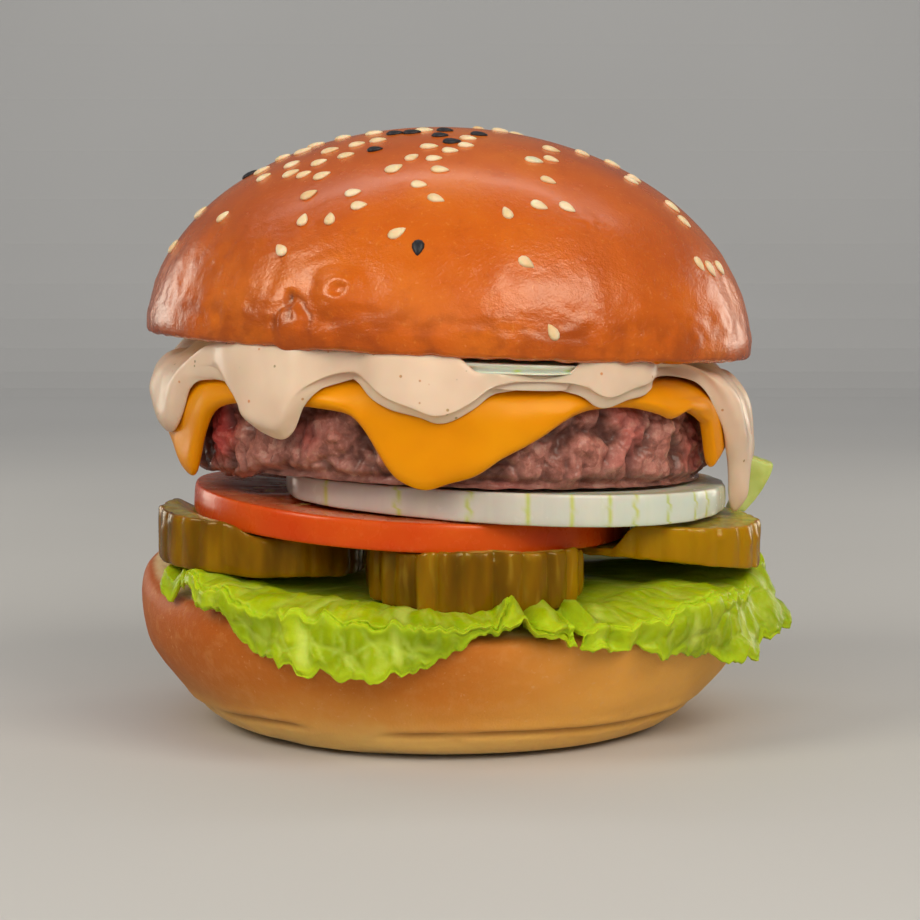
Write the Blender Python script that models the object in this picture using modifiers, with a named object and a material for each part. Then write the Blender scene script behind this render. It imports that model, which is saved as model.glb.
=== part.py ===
"""Tall stacked burger: seeded dome bun, melted sauce and cheese, thick patty, onion, tomato, pickles, lettuce.

Sizes are in millimetres and become metres when a vertex is placed. The heel stands on z = 0, its base
centre is the origin, and the side that carries the hanging cheese corner faces -Y.
"""
import math
import random

import bmesh
import bpy
from mathutils import Matrix, Vector, noise

MM = 0.001

# Driving sizes, mm and degrees
GAP = 0.35                      # clearance between stacked layers
HEEL_X = -0.7
HEEL_CUT = 25.4                 # height of the cut face at the axis
HEEL_CUT_LEAN = (-0.045, 0.055)
HEEL_SIDE = ((0.0, 40.0), (0.6, 42.2), (1.6, 44.0), (3.6, 46.4), (6.0, 48.6), (10.0, 51.6), (14.6, 54.3),
             (18.2, 55.6), (22.0, 56.0), (26.0, 55.4), (28.5, 54.4), (31.0, 52.0))

TOMATO_AT = (-6.7, -8.0)
TOMATO_RADIUS = 39.5
TOMATO_THICK = 5.0
TOMATO_BASE = 37.3
TOMATO_LEAN = -0.054

ONION_AT = (11.3, -7.5)
ONION_RADIUS = 38.6
ONION_THICK = 5.7

PATTY_AT = (0.0, -1.0)
PATTY_RADIUS = 49.3
PATTY_EDGE = 5.5                # radius of the rounded upper rim
PATTY_BASE, PATTY_BASE_LEAN = 46.2, (-0.040, 0.012)
PATTY_TOP, PATTY_TOP_LEAN = 62.1, -0.035

CHEESE_THICK = 2.1
# Run of the slice from the middle to its edge, along the drape: direction, length. The far side repeats it.
CHEESE_EDGE = ((185, 59), (198, 62.5), (203, 65), (207.5, 65.8), (210, 63), (213, 58), (218, 54), (232, 52.5), (245, 53),
               (251.5, 54), (255, 57), (259, 62.5), (262, 64.3), (266, 65.2), (270, 64), (275, 62.7), (280, 60),
               (285.5, 57.5), (291, 54.5), (297, 52), (308, 51), (319, 53.5), (327, 58), (332, 62.5), (338, 61), (346, 58.5),
               (356, 57.5))
CHEESE_LIFT = 0.45

SAUCE_THICK = 0.7
SAUCE_LIFT = CHEESE_LIFT + CHEESE_THICK + 0.95
SAUCE_DRIP_THICK = 2.3

THIN_ONION_OUTLINE = ((0.0, 43.5), (60.0, 42.0), (120.0, 41.5), (180.0, 42.0), (225.0, 43.5), (252.0, 47.0),
                      (268.0, 49.8), (290.0, 49.8), (308.0, 47.0), (335.0, 44.0))
THIN_ONION_THICK = 3.2

CROWN_RIM = 68.3                # height of the rim at the axis
CROWN_RADIUS = 55.3
CROWN_RISE = 38.9
CROWN_TILT = (0.8, 2.65)        # about X and about Y
SEED_COUNT = 64
SEED_SIZE = (1.65, 1.05, 0.62)  # half sizes: length, width, height


def smooth(low, high, value):
    """Cubic step from 0 at low to 1 at high."""
    share = min(max((value - low) / (high - low), 0.0), 1.0)
    return share * share * (3.0 - 2.0 * share)


def curve(table, value):
    """Straight-line reading of a table of (position, reading) pairs."""
    for (a, before), (b, after) in zip(table, table[1:]):
        if value <= b:
            return before + (after - before) * max(value - a, 0.0) / (b - a)
    return table[-1][1]


def ring_curve(table, degrees):
    """Smooth reading of a table of (direction, reading) pairs that closes on itself after a full turn."""
    start = table[0][0]
    degrees = (degrees - start) % 360.0 + start
    closed = list(table) + [(start + 360.0, table[0][1])]
    for (a, before), (b, after) in zip(closed, closed[1:]):
        if degrees <= b:
            share = (degrees - a) / (b - a)
            share = share * share * (3.0 - 2.0 * share)
            return before + (after - before) * share
    return table[0][1]


def ripple(degrees, name, size, lowest=2, highest=7):
    """Sum of slow waves round a circle, the same on every run for one name."""
    draw = random.Random(name)
    total = 0.0
    for count in range(lowest, highest + 1):
        phase, share = draw.uniform(0.0, 360.0), draw.uniform(0.5, 1.0)
        total += share * math.sin(math.radians(count * degrees + phase)) / math.sqrt(count)
    return size * total / math.sqrt(highest - lowest + 1)


def bumps(x, y, z, scale, name):
    """Smooth noise in -1..1 with features about `scale` wide."""
    shift = sum(map(ord, name)) * 3.7
    return noise.noise(Vector((x / scale + shift, y / scale - shift, z / scale + 0.5 * shift)))


def polar(degrees, radius, centre=(0.0, 0.0)):
    turn = math.radians(degrees)
    return centre[0] + radius * math.cos(turn), centre[1] + radius * math.sin(turn)


# Heights of the faces that the layers share

def heel_cut(x, y):
    return HEEL_CUT + HEEL_CUT_LEAN[0] * x + HEEL_CUT_LEAN[1] * y


def sag(y):
    """Droop of the soft slices where they overhang the front."""
    ahead = -(y + 8.0)
    soft = 6.0 * math.log1p(math.exp(-abs(ahead) / 6.0)) + max(ahead, 0.0)
    return 0.01 * (y + 8.0) - 0.05 * soft


def tomato_base(x, y):
    return TOMATO_BASE + TOMATO_LEAN * (x + 6.7) + sag(y)


def tomato_top(x, y):
    return tomato_base(x, y) + TOMATO_THICK


def onion_base(x, y):
    return tomato_top(x, y) + GAP


def patty_base(x, y):
    return PATTY_BASE + PATTY_BASE_LEAN[0] * x + PATTY_BASE_LEAN[1] * y


def patty_top(x):
    return PATTY_TOP + PATTY_TOP_LEAN * x


def onion_top(x, y):
    return min(onion_base(x, y) + ONION_THICK, patty_base(x, y) - GAP - 0.15)


# Building tools

def give_material(thing, name, colour, roughness):
    material = bpy.data.materials.new(name)
    material.use_nodes = True
    shader = material.node_tree.nodes["Principled BSDF"]
    shader.inputs["Base Color"].default_value = (*colour, 1.0)
    shader.inputs["Roughness"].default_value = roughness
    thing.data.materials.append(material)


def finish_mesh(form, name, smooth_shaded=True):
    bmesh.ops.recalc_face_normals(form, faces=form.faces)
    for face in form.faces:
        face.smooth = smooth_shaded
    mesh = bpy.data.meshes.new(name)
    form.to_mesh(mesh)
    form.free()
    thing = bpy.data.objects.new(name, mesh)
    bpy.context.scene.collection.objects.link(thing)
    return thing


def shaped_ball(name, columns, rows, place):
    """Closed body from a ball of `rows` rings: place(row, direction in degrees) gives each vertex in mm."""
    form = bmesh.new()
    bmesh.ops.create_uvsphere(form, u_segments=columns, v_segments=rows, radius=1.0)
    for vertex in form.verts:
        row = round(math.acos(max(-1.0, min(1.0, vertex.co.z))) / math.pi * rows)
        step = 360.0 / columns
        column = round(math.degrees(math.atan2(vertex.co.y, vertex.co.x)) / step) % columns
        vertex.co = Vector(place(row, column * step)) * MM
    bmesh.ops.triangulate(form, faces=form.faces, quad_method='SHORT_EDGE')
    return finish_mesh(form, name)


def slice_piece(name, columns, centre, radius, low, high):
    """Round slice with a rounded edge between the faces low(x, y) and high(x, y)."""
    stations = ((0.0, 1.0), (0.55, 1.0), (0.95, 1.0), (1.0, 0.74), (1.0, 0.26), (0.95, 0.0), (0.55, 0.0), (0.0, 0.0))

    def place(row, degrees):
        reach, level = stations[row]
        x, y = polar(degrees, reach * radius(degrees), centre)
        return x, y, low(x, y) + (high(x, y) - low(x, y)) * level

    return shaped_ball(name, columns, len(stations) - 1, place)


# Pieces

def heel_reach(degrees, height):
    """Radius of the heel's side: the foot is narrower to the sides than to the front and back."""
    foot = max(1.0 - height / 12.0, 0.0)
    across = math.cos(math.radians(degrees)) ** 2
    return curve(HEEL_SIDE, height) + foot * (2.8 - 5.0 * across)


def make_heel():
    rows = 12
    levels = (0.035, 0.1, 0.2, 0.36, 0.54, 0.72, 0.88, 0.985)

    def place(row, degrees):
        if row == 0:
            return HEEL_X, 0.0, heel_cut(HEEL_X, 0.0)
        if row == 1:
            x, y = polar(degrees, 30.0, (HEEL_X, 0.0))
            return x, y, heel_cut(x, y)
        if row == 2:
            x, y = polar(degrees, 50.5, (HEEL_X, 0.0))
            return x, y, heel_cut(x, y)
        if row == rows:
            return HEEL_X, 0.0, 0.0
        x, y = polar(degrees, 54.0, (HEEL_X, 0.0))
        rim = heel_cut(x, y) - 0.2
        if row == rows - 1:
            x, y = polar(degrees, heel_reach(degrees, 0.0) - 1.0, (HEEL_X, 0.0))
            return x, y, 0.0
        height = rim * levels[rows - 2 - row]
        reach = heel_reach(degrees, height) + ripple(degrees, "heel", 0.35, 3, 9)
        reach += 0.6 * bumps(*polar(degrees, 50.0), height * 2.0, 9.0, "crust") - (1.2 if row == 3 else 0.0)
        x, y = polar(degrees, reach, (HEEL_X, 0.0))
        return x, y, height

    heel = shaped_ball("bun_bottom", 40, rows, place)
    give_material(heel, "Toasted bun heel", (0.55, 0.27, 0.11), 0.55)


LEAF_THICK = 0.8
LEAF_START = 50.5               # distance from the axis at which a leaf bends over the heel's rim
# First and last direction, columns, and how far the leaf runs past the rim: direction, length
LEAVES = {
    "lettuce_left": (150.0, 291.5, 32, (
        (150, -9), (172, -6), (190, -4), (203, -3), (208, 5.0), (212, 5.5), (216, 2.5), (222, 4.5), (229, 5.0),
        (233, 8.0), (237, 9.3), (241, 10.0), (245, 12.2), (251, 12.4), (257, 12.2), (262, 11.4), (267, 10.2), (270, 7.5),
        (275, 4.2), (279, 3.2), (283.5, 1.5), (286, 5.0), (289, 2.0), (291.5, 6.5))),
    "lettuce_right": (-66.5, 52.0, 28, (
        (-66.5, 6.0), (-61, 8.0), (-58, 5.8), (-53, 8.2), (-46, 9.6), (-38, 10.0), (-29, 12.0), (-24, 11.0), (-19, 9.0),
        (-11, 8.6), (-5, 5.8), (3, 4.0), (10, 7.5), (20, 4.5), (33, 9.5), (44, 5.0), (52, 1.0))),
    "lettuce_back": (54.5, 147.5, 18, (
        (54.5, 1.0), (63, 7.0), (75, 3.5), (87, 10.5), (100, 9.0), (112, 3.0), (124, 9.5), (136, 5.5), (147.5, -4.0))),
}


# How far the leaves bulge up to meet the pickles: direction, rise
LEAF_RISE = ((150, 0.4), (175, 1.8), (200, 2.5), (216, 2.4), (232, 1.2), (250, 0.2), (300, 0.2), (312, 2.0), (326, 4.0),
             (342, 4.9), (357, 4.7), (372, 3.4), (390, 1.4), (412, 0.4), (450, 0.2), (509, 0.2))


def leaf_point(degrees, run, past):
    """Point of a leaf's under face `run` out from the axis; `past` is how far the whole leaf runs past the rim."""
    clear = GAP + 0.8 * smooth(7.0, 2.0, past) * smooth(LEAF_START - 8.0, LEAF_START - 4.0, run)
    rise = curve(LEAF_RISE, (degrees - 150.0) % 360.0 + 150.0) * smooth(9.0, 30.0, run)
    rise *= 1.0 - 0.22 * (1.0 + math.sin(math.radians(degrees * 11.0)))
    if run <= LEAF_START:
        x, y = polar(degrees, run, (HEEL_X, 0.0))
        return x, y, heel_cut(x, y) + clear + rise
    rim_x, rim_y = polar(degrees, 54.0, (HEEL_X, 0.0))
    rim = heel_cut(rim_x, rim_y)
    over = run - LEAF_START
    bend = 5.6
    turn = min(over / (bend + 0.4), math.radians(78.0))
    fall = max(over - turn * (bend + 0.4), 0.0)
    height = rim + clear + 0.2 + rise * (1.0 - smooth(0.0, 12.0, over)) - bend * (1.0 - math.cos(turn)) - 0.98 * fall
    reach = LEAF_START + bend * math.sin(turn) + 0.17 * fall
    loose = smooth(0.0, 9.0, over)
    frill = 1.3 * math.sin(math.radians(degrees * 9.0 + 60.0 * math.sin(math.radians(degrees * 2.3))))
    frill += 0.7 * math.sin(math.radians(degrees * 21.0 + 40.0))
    flare = 4.2 * math.exp(-((degrees % 360.0 - 349.0) / 9.0) ** 2) * smooth(0.5, 4.0, over) * smooth(16.0, 9.0, over)
    reach += loose * (1.6 + frill) + flare
    reach = max(reach, curve(HEEL_SIDE, height) + 1.1)
    x, y = polar(degrees, reach, (HEEL_X, 0.0))
    return x, y, height


def leaf_roof(x, y):
    """Height that clears the bulging leaves above a point."""
    run = math.hypot(x - HEEL_X, y)
    degrees = math.degrees(math.atan2(y, x - HEEL_X))
    rise = curve(LEAF_RISE, (degrees - 150.0) % 360.0 + 150.0) * smooth(9.0, 30.0, run)
    return heel_cut(x, y) + rise + 2.0 * GAP + LEAF_THICK + 0.3 + 0.8 * smooth(LEAF_START - 9.0, LEAF_START - 5.0, run)


def make_leaf(name):
    start, stop, columns, edge = LEAVES[name]
    steps = 7
    form = bmesh.new()
    bmesh.ops.create_grid(form, x_segments=columns, y_segments=steps, size=1.0)
    for vertex in form.verts:
        column = (vertex.co.x + 1.0) / 2.0
        step = round((vertex.co.y + 1.0) / 2.0 * steps)
        degrees = start + (stop - start) * column
        past = curve(edge, degrees)
        flat = LEAF_START + min(past, 0.0) - 6.0 * smooth(3.0, 0.0, past)
        run = (7.0, 29.0, flat)[step] if step < 3 else flat + (LEAF_START + past - flat) * (step - 2) / (steps - 2)
        vertex.co = Vector(leaf_point(degrees, run, past)) * MM
    bmesh.ops.triangulate(form, faces=form.faces, quad_method='FIXED')
    for face in form.faces:
        face.normal_update()
    inner = min(form.faces, key=lambda face: face.calc_center_median().xy.length)
    if inner.normal.z < 0.0:
        bmesh.ops.reverse_faces(form, faces=form.faces)
    mesh = bpy.data.meshes.new(name)
    for face in form.faces:
        face.smooth = True
    form.to_mesh(mesh)
    form.free()
    leaf = bpy.data.objects.new(name, mesh)
    bpy.context.scene.collection.objects.link(leaf)
    thicken(leaf, LEAF_THICK)
    give_material(leaf, name.replace("_", " ").capitalize(), (0.35, 0.50, 0.04), 0.4)


def thicken(thing, amount):
    """Grows a sheet along its normals."""
    change = thing.modifiers.new("thickness", 'SOLIDIFY')
    change.thickness = amount * MM
    change.offset = 1.0
    change.use_even_offset = False


# Name: centre, radius, base height at the centre, lean of the base in x and y, number of ribs
PICKLES = {
    "pickle_left": ((-33.0, -18.5), (18.6, 19.5), 30.0, (-0.060, 0.010), 24),
    "pickle_front": ((4.6, -32.0), (18.3, 18.6), 26.6, (-0.010, 0.110), 23),
    "pickle_right": ((37.3, -14.5), (17.8, 19.0), 30.6, (-0.090, -0.060), 24),
    "pickle_back": ((2.0, 27.0), (20.5, 19.0), 28.6, (-0.030, -0.010), 25),
}


def make_pickle(name):
    centre, half, base, lean, ribs = PICKLES[name]
    stations = ((0.0, 1.0), (0.94, 1.0), (1.0, 0.8), (1.0, 0.2), (0.95, 0.0), (0.0, 0.0))
    if name == "pickle_right":
        stations = stations[:1] + ((0.55, 1.0),) + stations[1:]

    def low(x, y):
        level = base + lean[0] * (x - centre[0]) + lean[1] * (y - centre[1])
        return max(level, leaf_roof(x, y))

    def high(x, y):
        under = tomato_base(x, y) - GAP - 0.3
        beyond = Vector((x - TOMATO_AT[0], y - TOMATO_AT[1])).length - TOMATO_RADIUS
        lift = 4.0 * smooth(3.0, 10.0, beyond) if name == "pickle_right" else 0.0
        return min(under + lift, onion_base(x, y) - GAP - 0.2)

    def place(row, degrees):
        reach, level = stations[row]
        turn = math.radians(degrees)
        spread = half[0] * half[1] / math.hypot(half[1] * math.cos(turn), half[0] * math.sin(turn))
        spread += ripple(degrees, name, 0.7, 2, 4)
        if reach > 0.6:
            spread += 0.45 * (1 if round(degrees / (360.0 / (2 * ribs))) % 2 else -1)
        x, y = polar(degrees, reach * spread, centre)
        return x, y, low(x, y) + (high(x, y) - low(x, y)) * level

    pickle = shaped_ball(name, 2 * ribs, len(stations) - 1, place)
    give_material(pickle, name.replace("_", " ").capitalize(), (0.35, 0.24, 0.03), 0.3)


def make_tomato():
    tomato = slice_piece("tomato", 40, TOMATO_AT, lambda a: TOMATO_RADIUS + ripple(a, "tomato", 0.5, 3, 5),
                         tomato_base, tomato_top)
    give_material(tomato, "Tomato", (0.62, 0.10, 0.02), 0.25)


ONION_OUTLINE = ((0.0, 38.4), (40.0, 38.8), (90.0, 38.0), (140.0, 38.4), (175.0, 38.9), (198.0, 41.5), (212.0, 45.0),
                 (226.0, 42.6), (245.0, 39.6), (270.0, 38.8), (315.0, 39.2))


def make_onion():
    onion = slice_piece("onion", 40, ONION_AT, lambda a: ring_curve(ONION_OUTLINE, a), onion_base, onion_top)
    give_material(onion, "Onion slice", (0.72, 0.72, 0.52), 0.3)


def make_rib():
    """Pale stalk leaning against the end of the onion slice."""
    low = ((50.9, -3.6), (54.0, -3.2), (53.8, 3.4), (51.0, 3.8))
    high = ((54.4, -3.0), (59.9, -2.0), (59.6, 4.2), (54.2, 4.8))
    form = bmesh.new()
    bmesh.ops.create_cube(form, size=2.0)
    for vertex in form.verts:
        upper = vertex.co.z > 0.0
        corner = {(-1, -1): 0, (1, -1): 1, (1, 1): 2, (-1, 1): 3}[(round(vertex.co.x), round(vertex.co.y))]
        x, y = (high if upper else low)[corner]
        vertex.co = Vector((x, y, (48.9 - (x - 54.4) * 0.3 - 0.8) if upper else 37.6)) * MM
    bmesh.ops.subdivide_edges(form, edges=[e for e in form.edges if abs((e.verts[0].co - e.verts[1].co).z) > 0.006],
                              cuts=1)
    for vertex in form.verts:
        if abs(vertex.co.z - 0.043) < 0.002:
            vertex.co.x += 0.0010
    rib = finish_mesh(form, "lettuce_rib")
    rounding = rib.modifiers.new("rounded edges", 'BEVEL')
    rounding.width = 1.1 * MM
    rounding.segments = 2
    rounding.limit_method = 'ANGLE'
    give_material(rib, "Lettuce rib", (0.50, 0.56, 0.20), 0.4)


def patty_reach(degrees):
    """Radius of the smooth form that the toppings drape over."""
    return PATTY_RADIUS + ripple(degrees, "patty", 0.5, 2, 4)


def drape(degrees, run, lift):
    """Point `run` along the patty's top and down its side, `lift` off its face."""
    radius = patty_reach(degrees)
    start = radius - PATTY_EDGE
    if run <= start:
        x, y = polar(degrees, run, PATTY_AT)
        return x, y, patty_top(x) + lift
    turn = min((run - start) / (PATTY_EDGE + 1.5), math.pi / 2.0)
    fall = max(run - start - (PATTY_EDGE + 1.5) * math.pi / 2.0, 0.0)
    reach = start + (PATTY_EDGE + lift) * math.sin(turn)
    x, y = polar(degrees, reach, PATTY_AT)
    return x, y, patty_top(x) - PATTY_EDGE + (PATTY_EDGE + lift) * math.cos(turn) - fall


def run_to(degrees, height, lift=2.5):
    """Length along the drape at which it reaches a height."""
    low, high = patty_reach(degrees) - PATTY_EDGE, 90.0
    for _ in range(24):
        middle = 0.5 * (low + high)
        if drape(degrees, middle, lift)[2] > height:
            low = middle
        else:
            high = middle
    return 0.5 * (low + high)


def make_patty():
    # Runs of the side stations: share of the height below the rounded rim
    rows = 12

    def place(row, degrees):
        radius = patty_reach(degrees)
        if row == 0:
            return PATTY_AT[0], PATTY_AT[1], patty_top(PATTY_AT[0]) - 0.4
        if row == rows:
            return PATTY_AT[0], PATTY_AT[1], patty_base(*PATTY_AT)
        if row in (1, 2):
            run = (24.0, radius - PATTY_EDGE)[row - 1]
            x, y, z = drape(degrees, run, 0.0)
            return x, y, z - 0.25 - 0.25 * (1.0 + bumps(x, y, z, 6.0, "top"))
        if row in (rows - 1, rows - 2):
            x, y = polar(degrees, (24.0, radius - 4.2)[rows - 1 - row], PATTY_AT)
            return x, y, patty_base(x, y)
        x, y = polar(degrees, radius, PATTY_AT)
        lobe = 2.4 * smooth(24.0, 10.0, abs(degrees - 207.0))
        low, high = patty_base(x, y) + 1.4 - lobe, patty_top(x)
        level = (None, None, None, 0.93, 0.8, 0.62, 0.46, 0.3, 0.16, 0.03)[row]
        z = low + (high - low) * level
        round_top = PATTY_EDGE * (1.0 - math.sqrt(max(1.0 - max(z - high + PATTY_EDGE, 0.0) ** 2 / PATTY_EDGE ** 2, 0.0)))
        crag = 1.0 + bumps(x, y, z, 5.0, "crag") + 0.6 * bumps(x, y, z, 2.6, "crumb")
        reach = radius - round_top - 0.15 - 0.95 * max(crag, 0.0) - (1.1 if row == 9 else 0.0)
        x, y = polar(degrees, reach, PATTY_AT)
        return x, y, z

    patty = shaped_ball("patty", 46, rows, place)
    give_material(patty, "Grilled patty", (0.20, 0.09, 0.06), 0.4)


def cheese_run(degrees):
    """Distance along the drape from the middle to the slice's edge."""
    near = CHEESE_EDGE[0][0]
    if not near <= degrees % 360.0 <= near + 180.0:
        degrees += 180.0
    return curve(CHEESE_EDGE + ((near + 180.0, CHEESE_EDGE[0][1]),), (degrees - near) % 360.0 + near)


def make_cheese():
    steps = 7
    near = [degrees for degrees, _ in CHEESE_EDGE]
    columns = near + [near[-1] + (near[0] + 360.0 - near[-1]) * k / 18.0 for k in range(1, 18)]

    def runs(degrees):
        start, stop = patty_reach(degrees) - PATTY_EDGE, cheese_run(degrees)
        return [22.0, start] + [start + (stop - start) * (k + 1) / (steps - 2) for k in range(steps - 2)]

    def place(row, degrees):
        if row in (0, 2 * steps + 1):
            return drape(degrees, 0.0, CHEESE_LIFT + (0.0 if row else CHEESE_THICK))
        upper = row <= steps
        step = row - 1 if upper else 2 * steps - row
        run = runs(degrees)[step]
        if upper and step == steps - 1:
            return drape(degrees, run - 0.4, CHEESE_LIFT + CHEESE_THICK * 0.85)
        return drape(degrees, run, CHEESE_LIFT + (CHEESE_THICK if upper else 0.0))

    count = len(columns)
    cheese = shaped_ball("cheese", count, 2 * steps + 1, lambda row, a: place(row, columns[round(a * count / 360.0) % count]))
    give_material(cheese, "Melted cheese", (0.80, 0.32, 0.02), 0.3)


# Lower edge of the sauce: direction, height
SAUCE_EDGE = ((180, 60), (186, 58), (193, 54.5), (199, 53.2), (205, 55), (210, 61), (219, 62.5), (226, 61), (229, 57), (234, 54.2),
              (239, 54), (243, 59), (248, 62.5), (253, 62.5), (258, 59.2), (264, 57.8), (268, 56.6), (273, 58), (278, 60.6),
              (283, 61.5), (290, 61.5), (296, 60.2), (300, 58.4), (306, 59.6), (312, 60.5), (317, 62.5), (326, 62.6),
              (332, 60.5), (337, 54), (341.5, 46.5), (345, 39.2), (348, 44.5), (352, 45.5), (356, 52))


def sauce_columns():
    """Edge height at each direction: the far side repeats the near side's drips, cut shorter."""
    table = dict(SAUCE_EDGE)
    for step in range(20):
        table[4.0 + 9.0 * step] = max(curve(SAUCE_EDGE, 184.0 + 9.0 * step), 55.5)
    return table


def thin_onion_edge(degrees):
    """Distance from the patty's axis to the thin slice's edge."""
    return ring_curve(THIN_ONION_OUTLINE, degrees)


def crown_under(x, y):
    """Lowest face of the crown above a point, mm."""
    radius = math.hypot(x, y)
    recess = curve(((0.0, 2.0), (20.0, 2.0), (40.0, 1.6), (48.0, 0.5), (52.0, 0.0), (90.0, 0.0)), radius)
    return CROWN_RIM - 0.0463 * x + 0.014 * y + recess


def drape_height(x, y, lift):
    """Height of the draped form, `lift` off its face, above a point."""
    away = Vector((x - PATTY_AT[0], y - PATTY_AT[1]))
    degrees = math.degrees(math.atan2(away.y, away.x))
    past = max(away.length - patty_reach(degrees) + PATTY_EDGE, 0.0)
    bend = PATTY_EDGE + lift
    return patty_top(x) - PATTY_EDGE + math.sqrt(max(bend * bend - past * past, 0.0))


def thin_onion_base(x, y):
    return drape_height(x, y, SAUCE_LIFT + SAUCE_THICK + GAP + 0.2)


def thin_onion_top(x, y):
    return min(thin_onion_base(x, y) + THIN_ONION_THICK, crown_under(x, y) - GAP)


def make_thin_onion():
    onion = slice_piece("onion_top", 36, PATTY_AT, thin_onion_edge, thin_onion_base, thin_onion_top)
    give_material(onion, "Thin onion slice", (0.75, 0.74, 0.55), 0.3)


def make_sauce():
    table = sauce_columns()
    columns = sorted(table)
    steps = 9

    def lift_under(degrees, run):
        """Rests on the cheese, and settles on to the patty beyond the slice."""
        slice_run = max(cheese_run(degrees + turn) for turn in (-12.0, -8.0, -4.0, 0.0, 4.0, 8.0, 12.0))
        bare = smooth(3.0, 7.0, run - slice_run) * smooth(8.0, 20.0, abs(degrees - 346.0)) * (degrees > 180.0)
        return SAUCE_LIFT - (SAUCE_LIFT - 0.9) * bare

    def place(row, degrees):
        height = table[degrees]
        shown = smooth(19.0, 12.0, abs(degrees - 278.5))        # where the thin slice shows
        rim = thin_onion_edge(degrees) + 0.5
        start = patty_reach(degrees) - PATTY_EDGE
        stop = run_to(degrees, height)
        if row == 0:
            return drape(degrees, 0.0, SAUCE_LIFT + SAUCE_THICK)
        if row == 2 * steps + 1:
            return drape(degrees, 0.0, SAUCE_LIFT)
        upper = row <= steps
        step = row - 1 if upper else 2 * steps - row
        if step == 0:
            return drape(degrees, 20.0, SAUCE_LIFT + (SAUCE_THICK if upper else 0.0))
        if not upper:
            run = 36.0 if step == 1 else start + (stop - start) * (step - 2) / (steps - 3)
            return drape(degrees, run, lift_under(degrees, run))
        bend = PATTY_EDGE + SAUCE_LIFT + SAUCE_THICK
        if step == 1:
            return drape(degrees, min(rim, start), SAUCE_LIFT + SAUCE_THICK)
        if step == 2:
            x, y = polar(degrees, max(rim - 3.2 * shown, min(rim, start) + 0.4), PATTY_AT)
            return x, y, drape_height(x, y, SAUCE_LIFT + SAUCE_THICK)
        first = start + (PATTY_EDGE + 1.5) * math.asin(min(max(rim + 1.3 - start, 0.0) / bend, 0.96))
        if step == 3:
            x, y = polar(degrees, max(rim, start) + 1.2, PATTY_AT)
            full = min(crown_under(x, y) - GAP - 0.15, drape_height(x, y, SAUCE_LIFT + SAUCE_THICK) + 2.4)
            low = drape(degrees, first, SAUCE_LIFT + SAUCE_THICK)
            return x * (1 - shown) + low[0] * shown, y * (1 - shown) + low[1] * shown, full * (1 - shown) + low[2] * shown
        share = (step - 3) / (steps - 4)
        run = first + (stop - first) * share
        thick = SAUCE_DRIP_THICK * (1.0 + 0.45 * smooth(14.0, 8.0, abs(degrees - 346.0)))
        if step == steps - 1:
            return drape(degrees, stop - 0.9, lift_under(degrees, stop) + 0.62 * thick)
        body = max(lift_under(degrees, run), SAUCE_LIFT - 0.8 * share) + thick * (0.45 + 0.55 * smooth(0.1, 0.6, share))
        return drape(degrees, run, body)

    count = len(columns)
    sauce = shaped_ball("sauce", count, 2 * steps + 1, lambda row, a: place(row, columns[round(a * count / 360.0) % count]))
    give_material(sauce, "Burger sauce", (0.80, 0.60, 0.42), 0.35)


def crown_frame():
    turn = Matrix.Rotation(math.radians(CROWN_TILT[1]), 4, 'Y') @ Matrix.Rotation(math.radians(CROWN_TILT[0]), 4, 'X')
    return Matrix.Translation((0.0, 0.0, CROWN_RIM)) @ turn


def dome(polar_degrees, degrees):
    """Point of the crown's outer skin in its own frame, mm."""
    slope = math.radians(polar_degrees)
    radius = CROWN_RADIUS * math.sin(slope)
    radius += smooth(20.0, 80.0, polar_degrees) * ripple(degrees, "dome", 0.45, 2, 6)
    height = CROWN_RISE * math.cos(slope) + 0.5
    return radius, height


def make_crown():
    stations = [("skin", a) for a in (0, 12, 24, 36, 48, 59, 69, 78, 86)]
    stations += [("lip", p) for p in ((55.3, 1.2), (54.4, 0.15), (51.5, 0.0), (44.0, 1.2), (22.0, 2.0), (0.0, 2.0))]
    frame = crown_frame()

    def place(row, degrees):
        kind, value = stations[row]
        if kind == "skin":
            radius, height = dome(value, degrees)
            if value == 0:
                radius = 0.0
        else:
            radius, height = value
            if radius > 50.0:
                radius += ripple(degrees, "dome", 0.45, 2, 6)
        x, y = polar(degrees, radius)
        wrinkle = 0.35 * bumps(x, y, height, 8.0, "skin") * smooth(15.0, 40.0, radius)
        if height > 3.0:
            x, y = polar(degrees, radius + wrinkle)
        return frame @ Vector((x, y, height))

    crown = shaped_ball("bun_top", 48, len(stations) - 1, place)
    give_material(crown, "Glazed bun crown", (0.50, 0.16, 0.03), 0.3)
    return crown


def seed_spots():
    """Even spiral of directions that thins out down the dome: polar angle, direction, twist."""
    draw = random.Random(41)
    spots = []
    for index in range(SEED_COUNT):
        share = (index + 0.6) / SEED_COUNT
        slope = 4.0 + 72.0 * share ** 1.05
        direction = index * 137.508 + draw.uniform(-14.0, 14.0)
        spots.append((slope + draw.uniform(-2.2, 2.2), direction, draw.uniform(0.0, 360.0)))
    return spots


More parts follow.
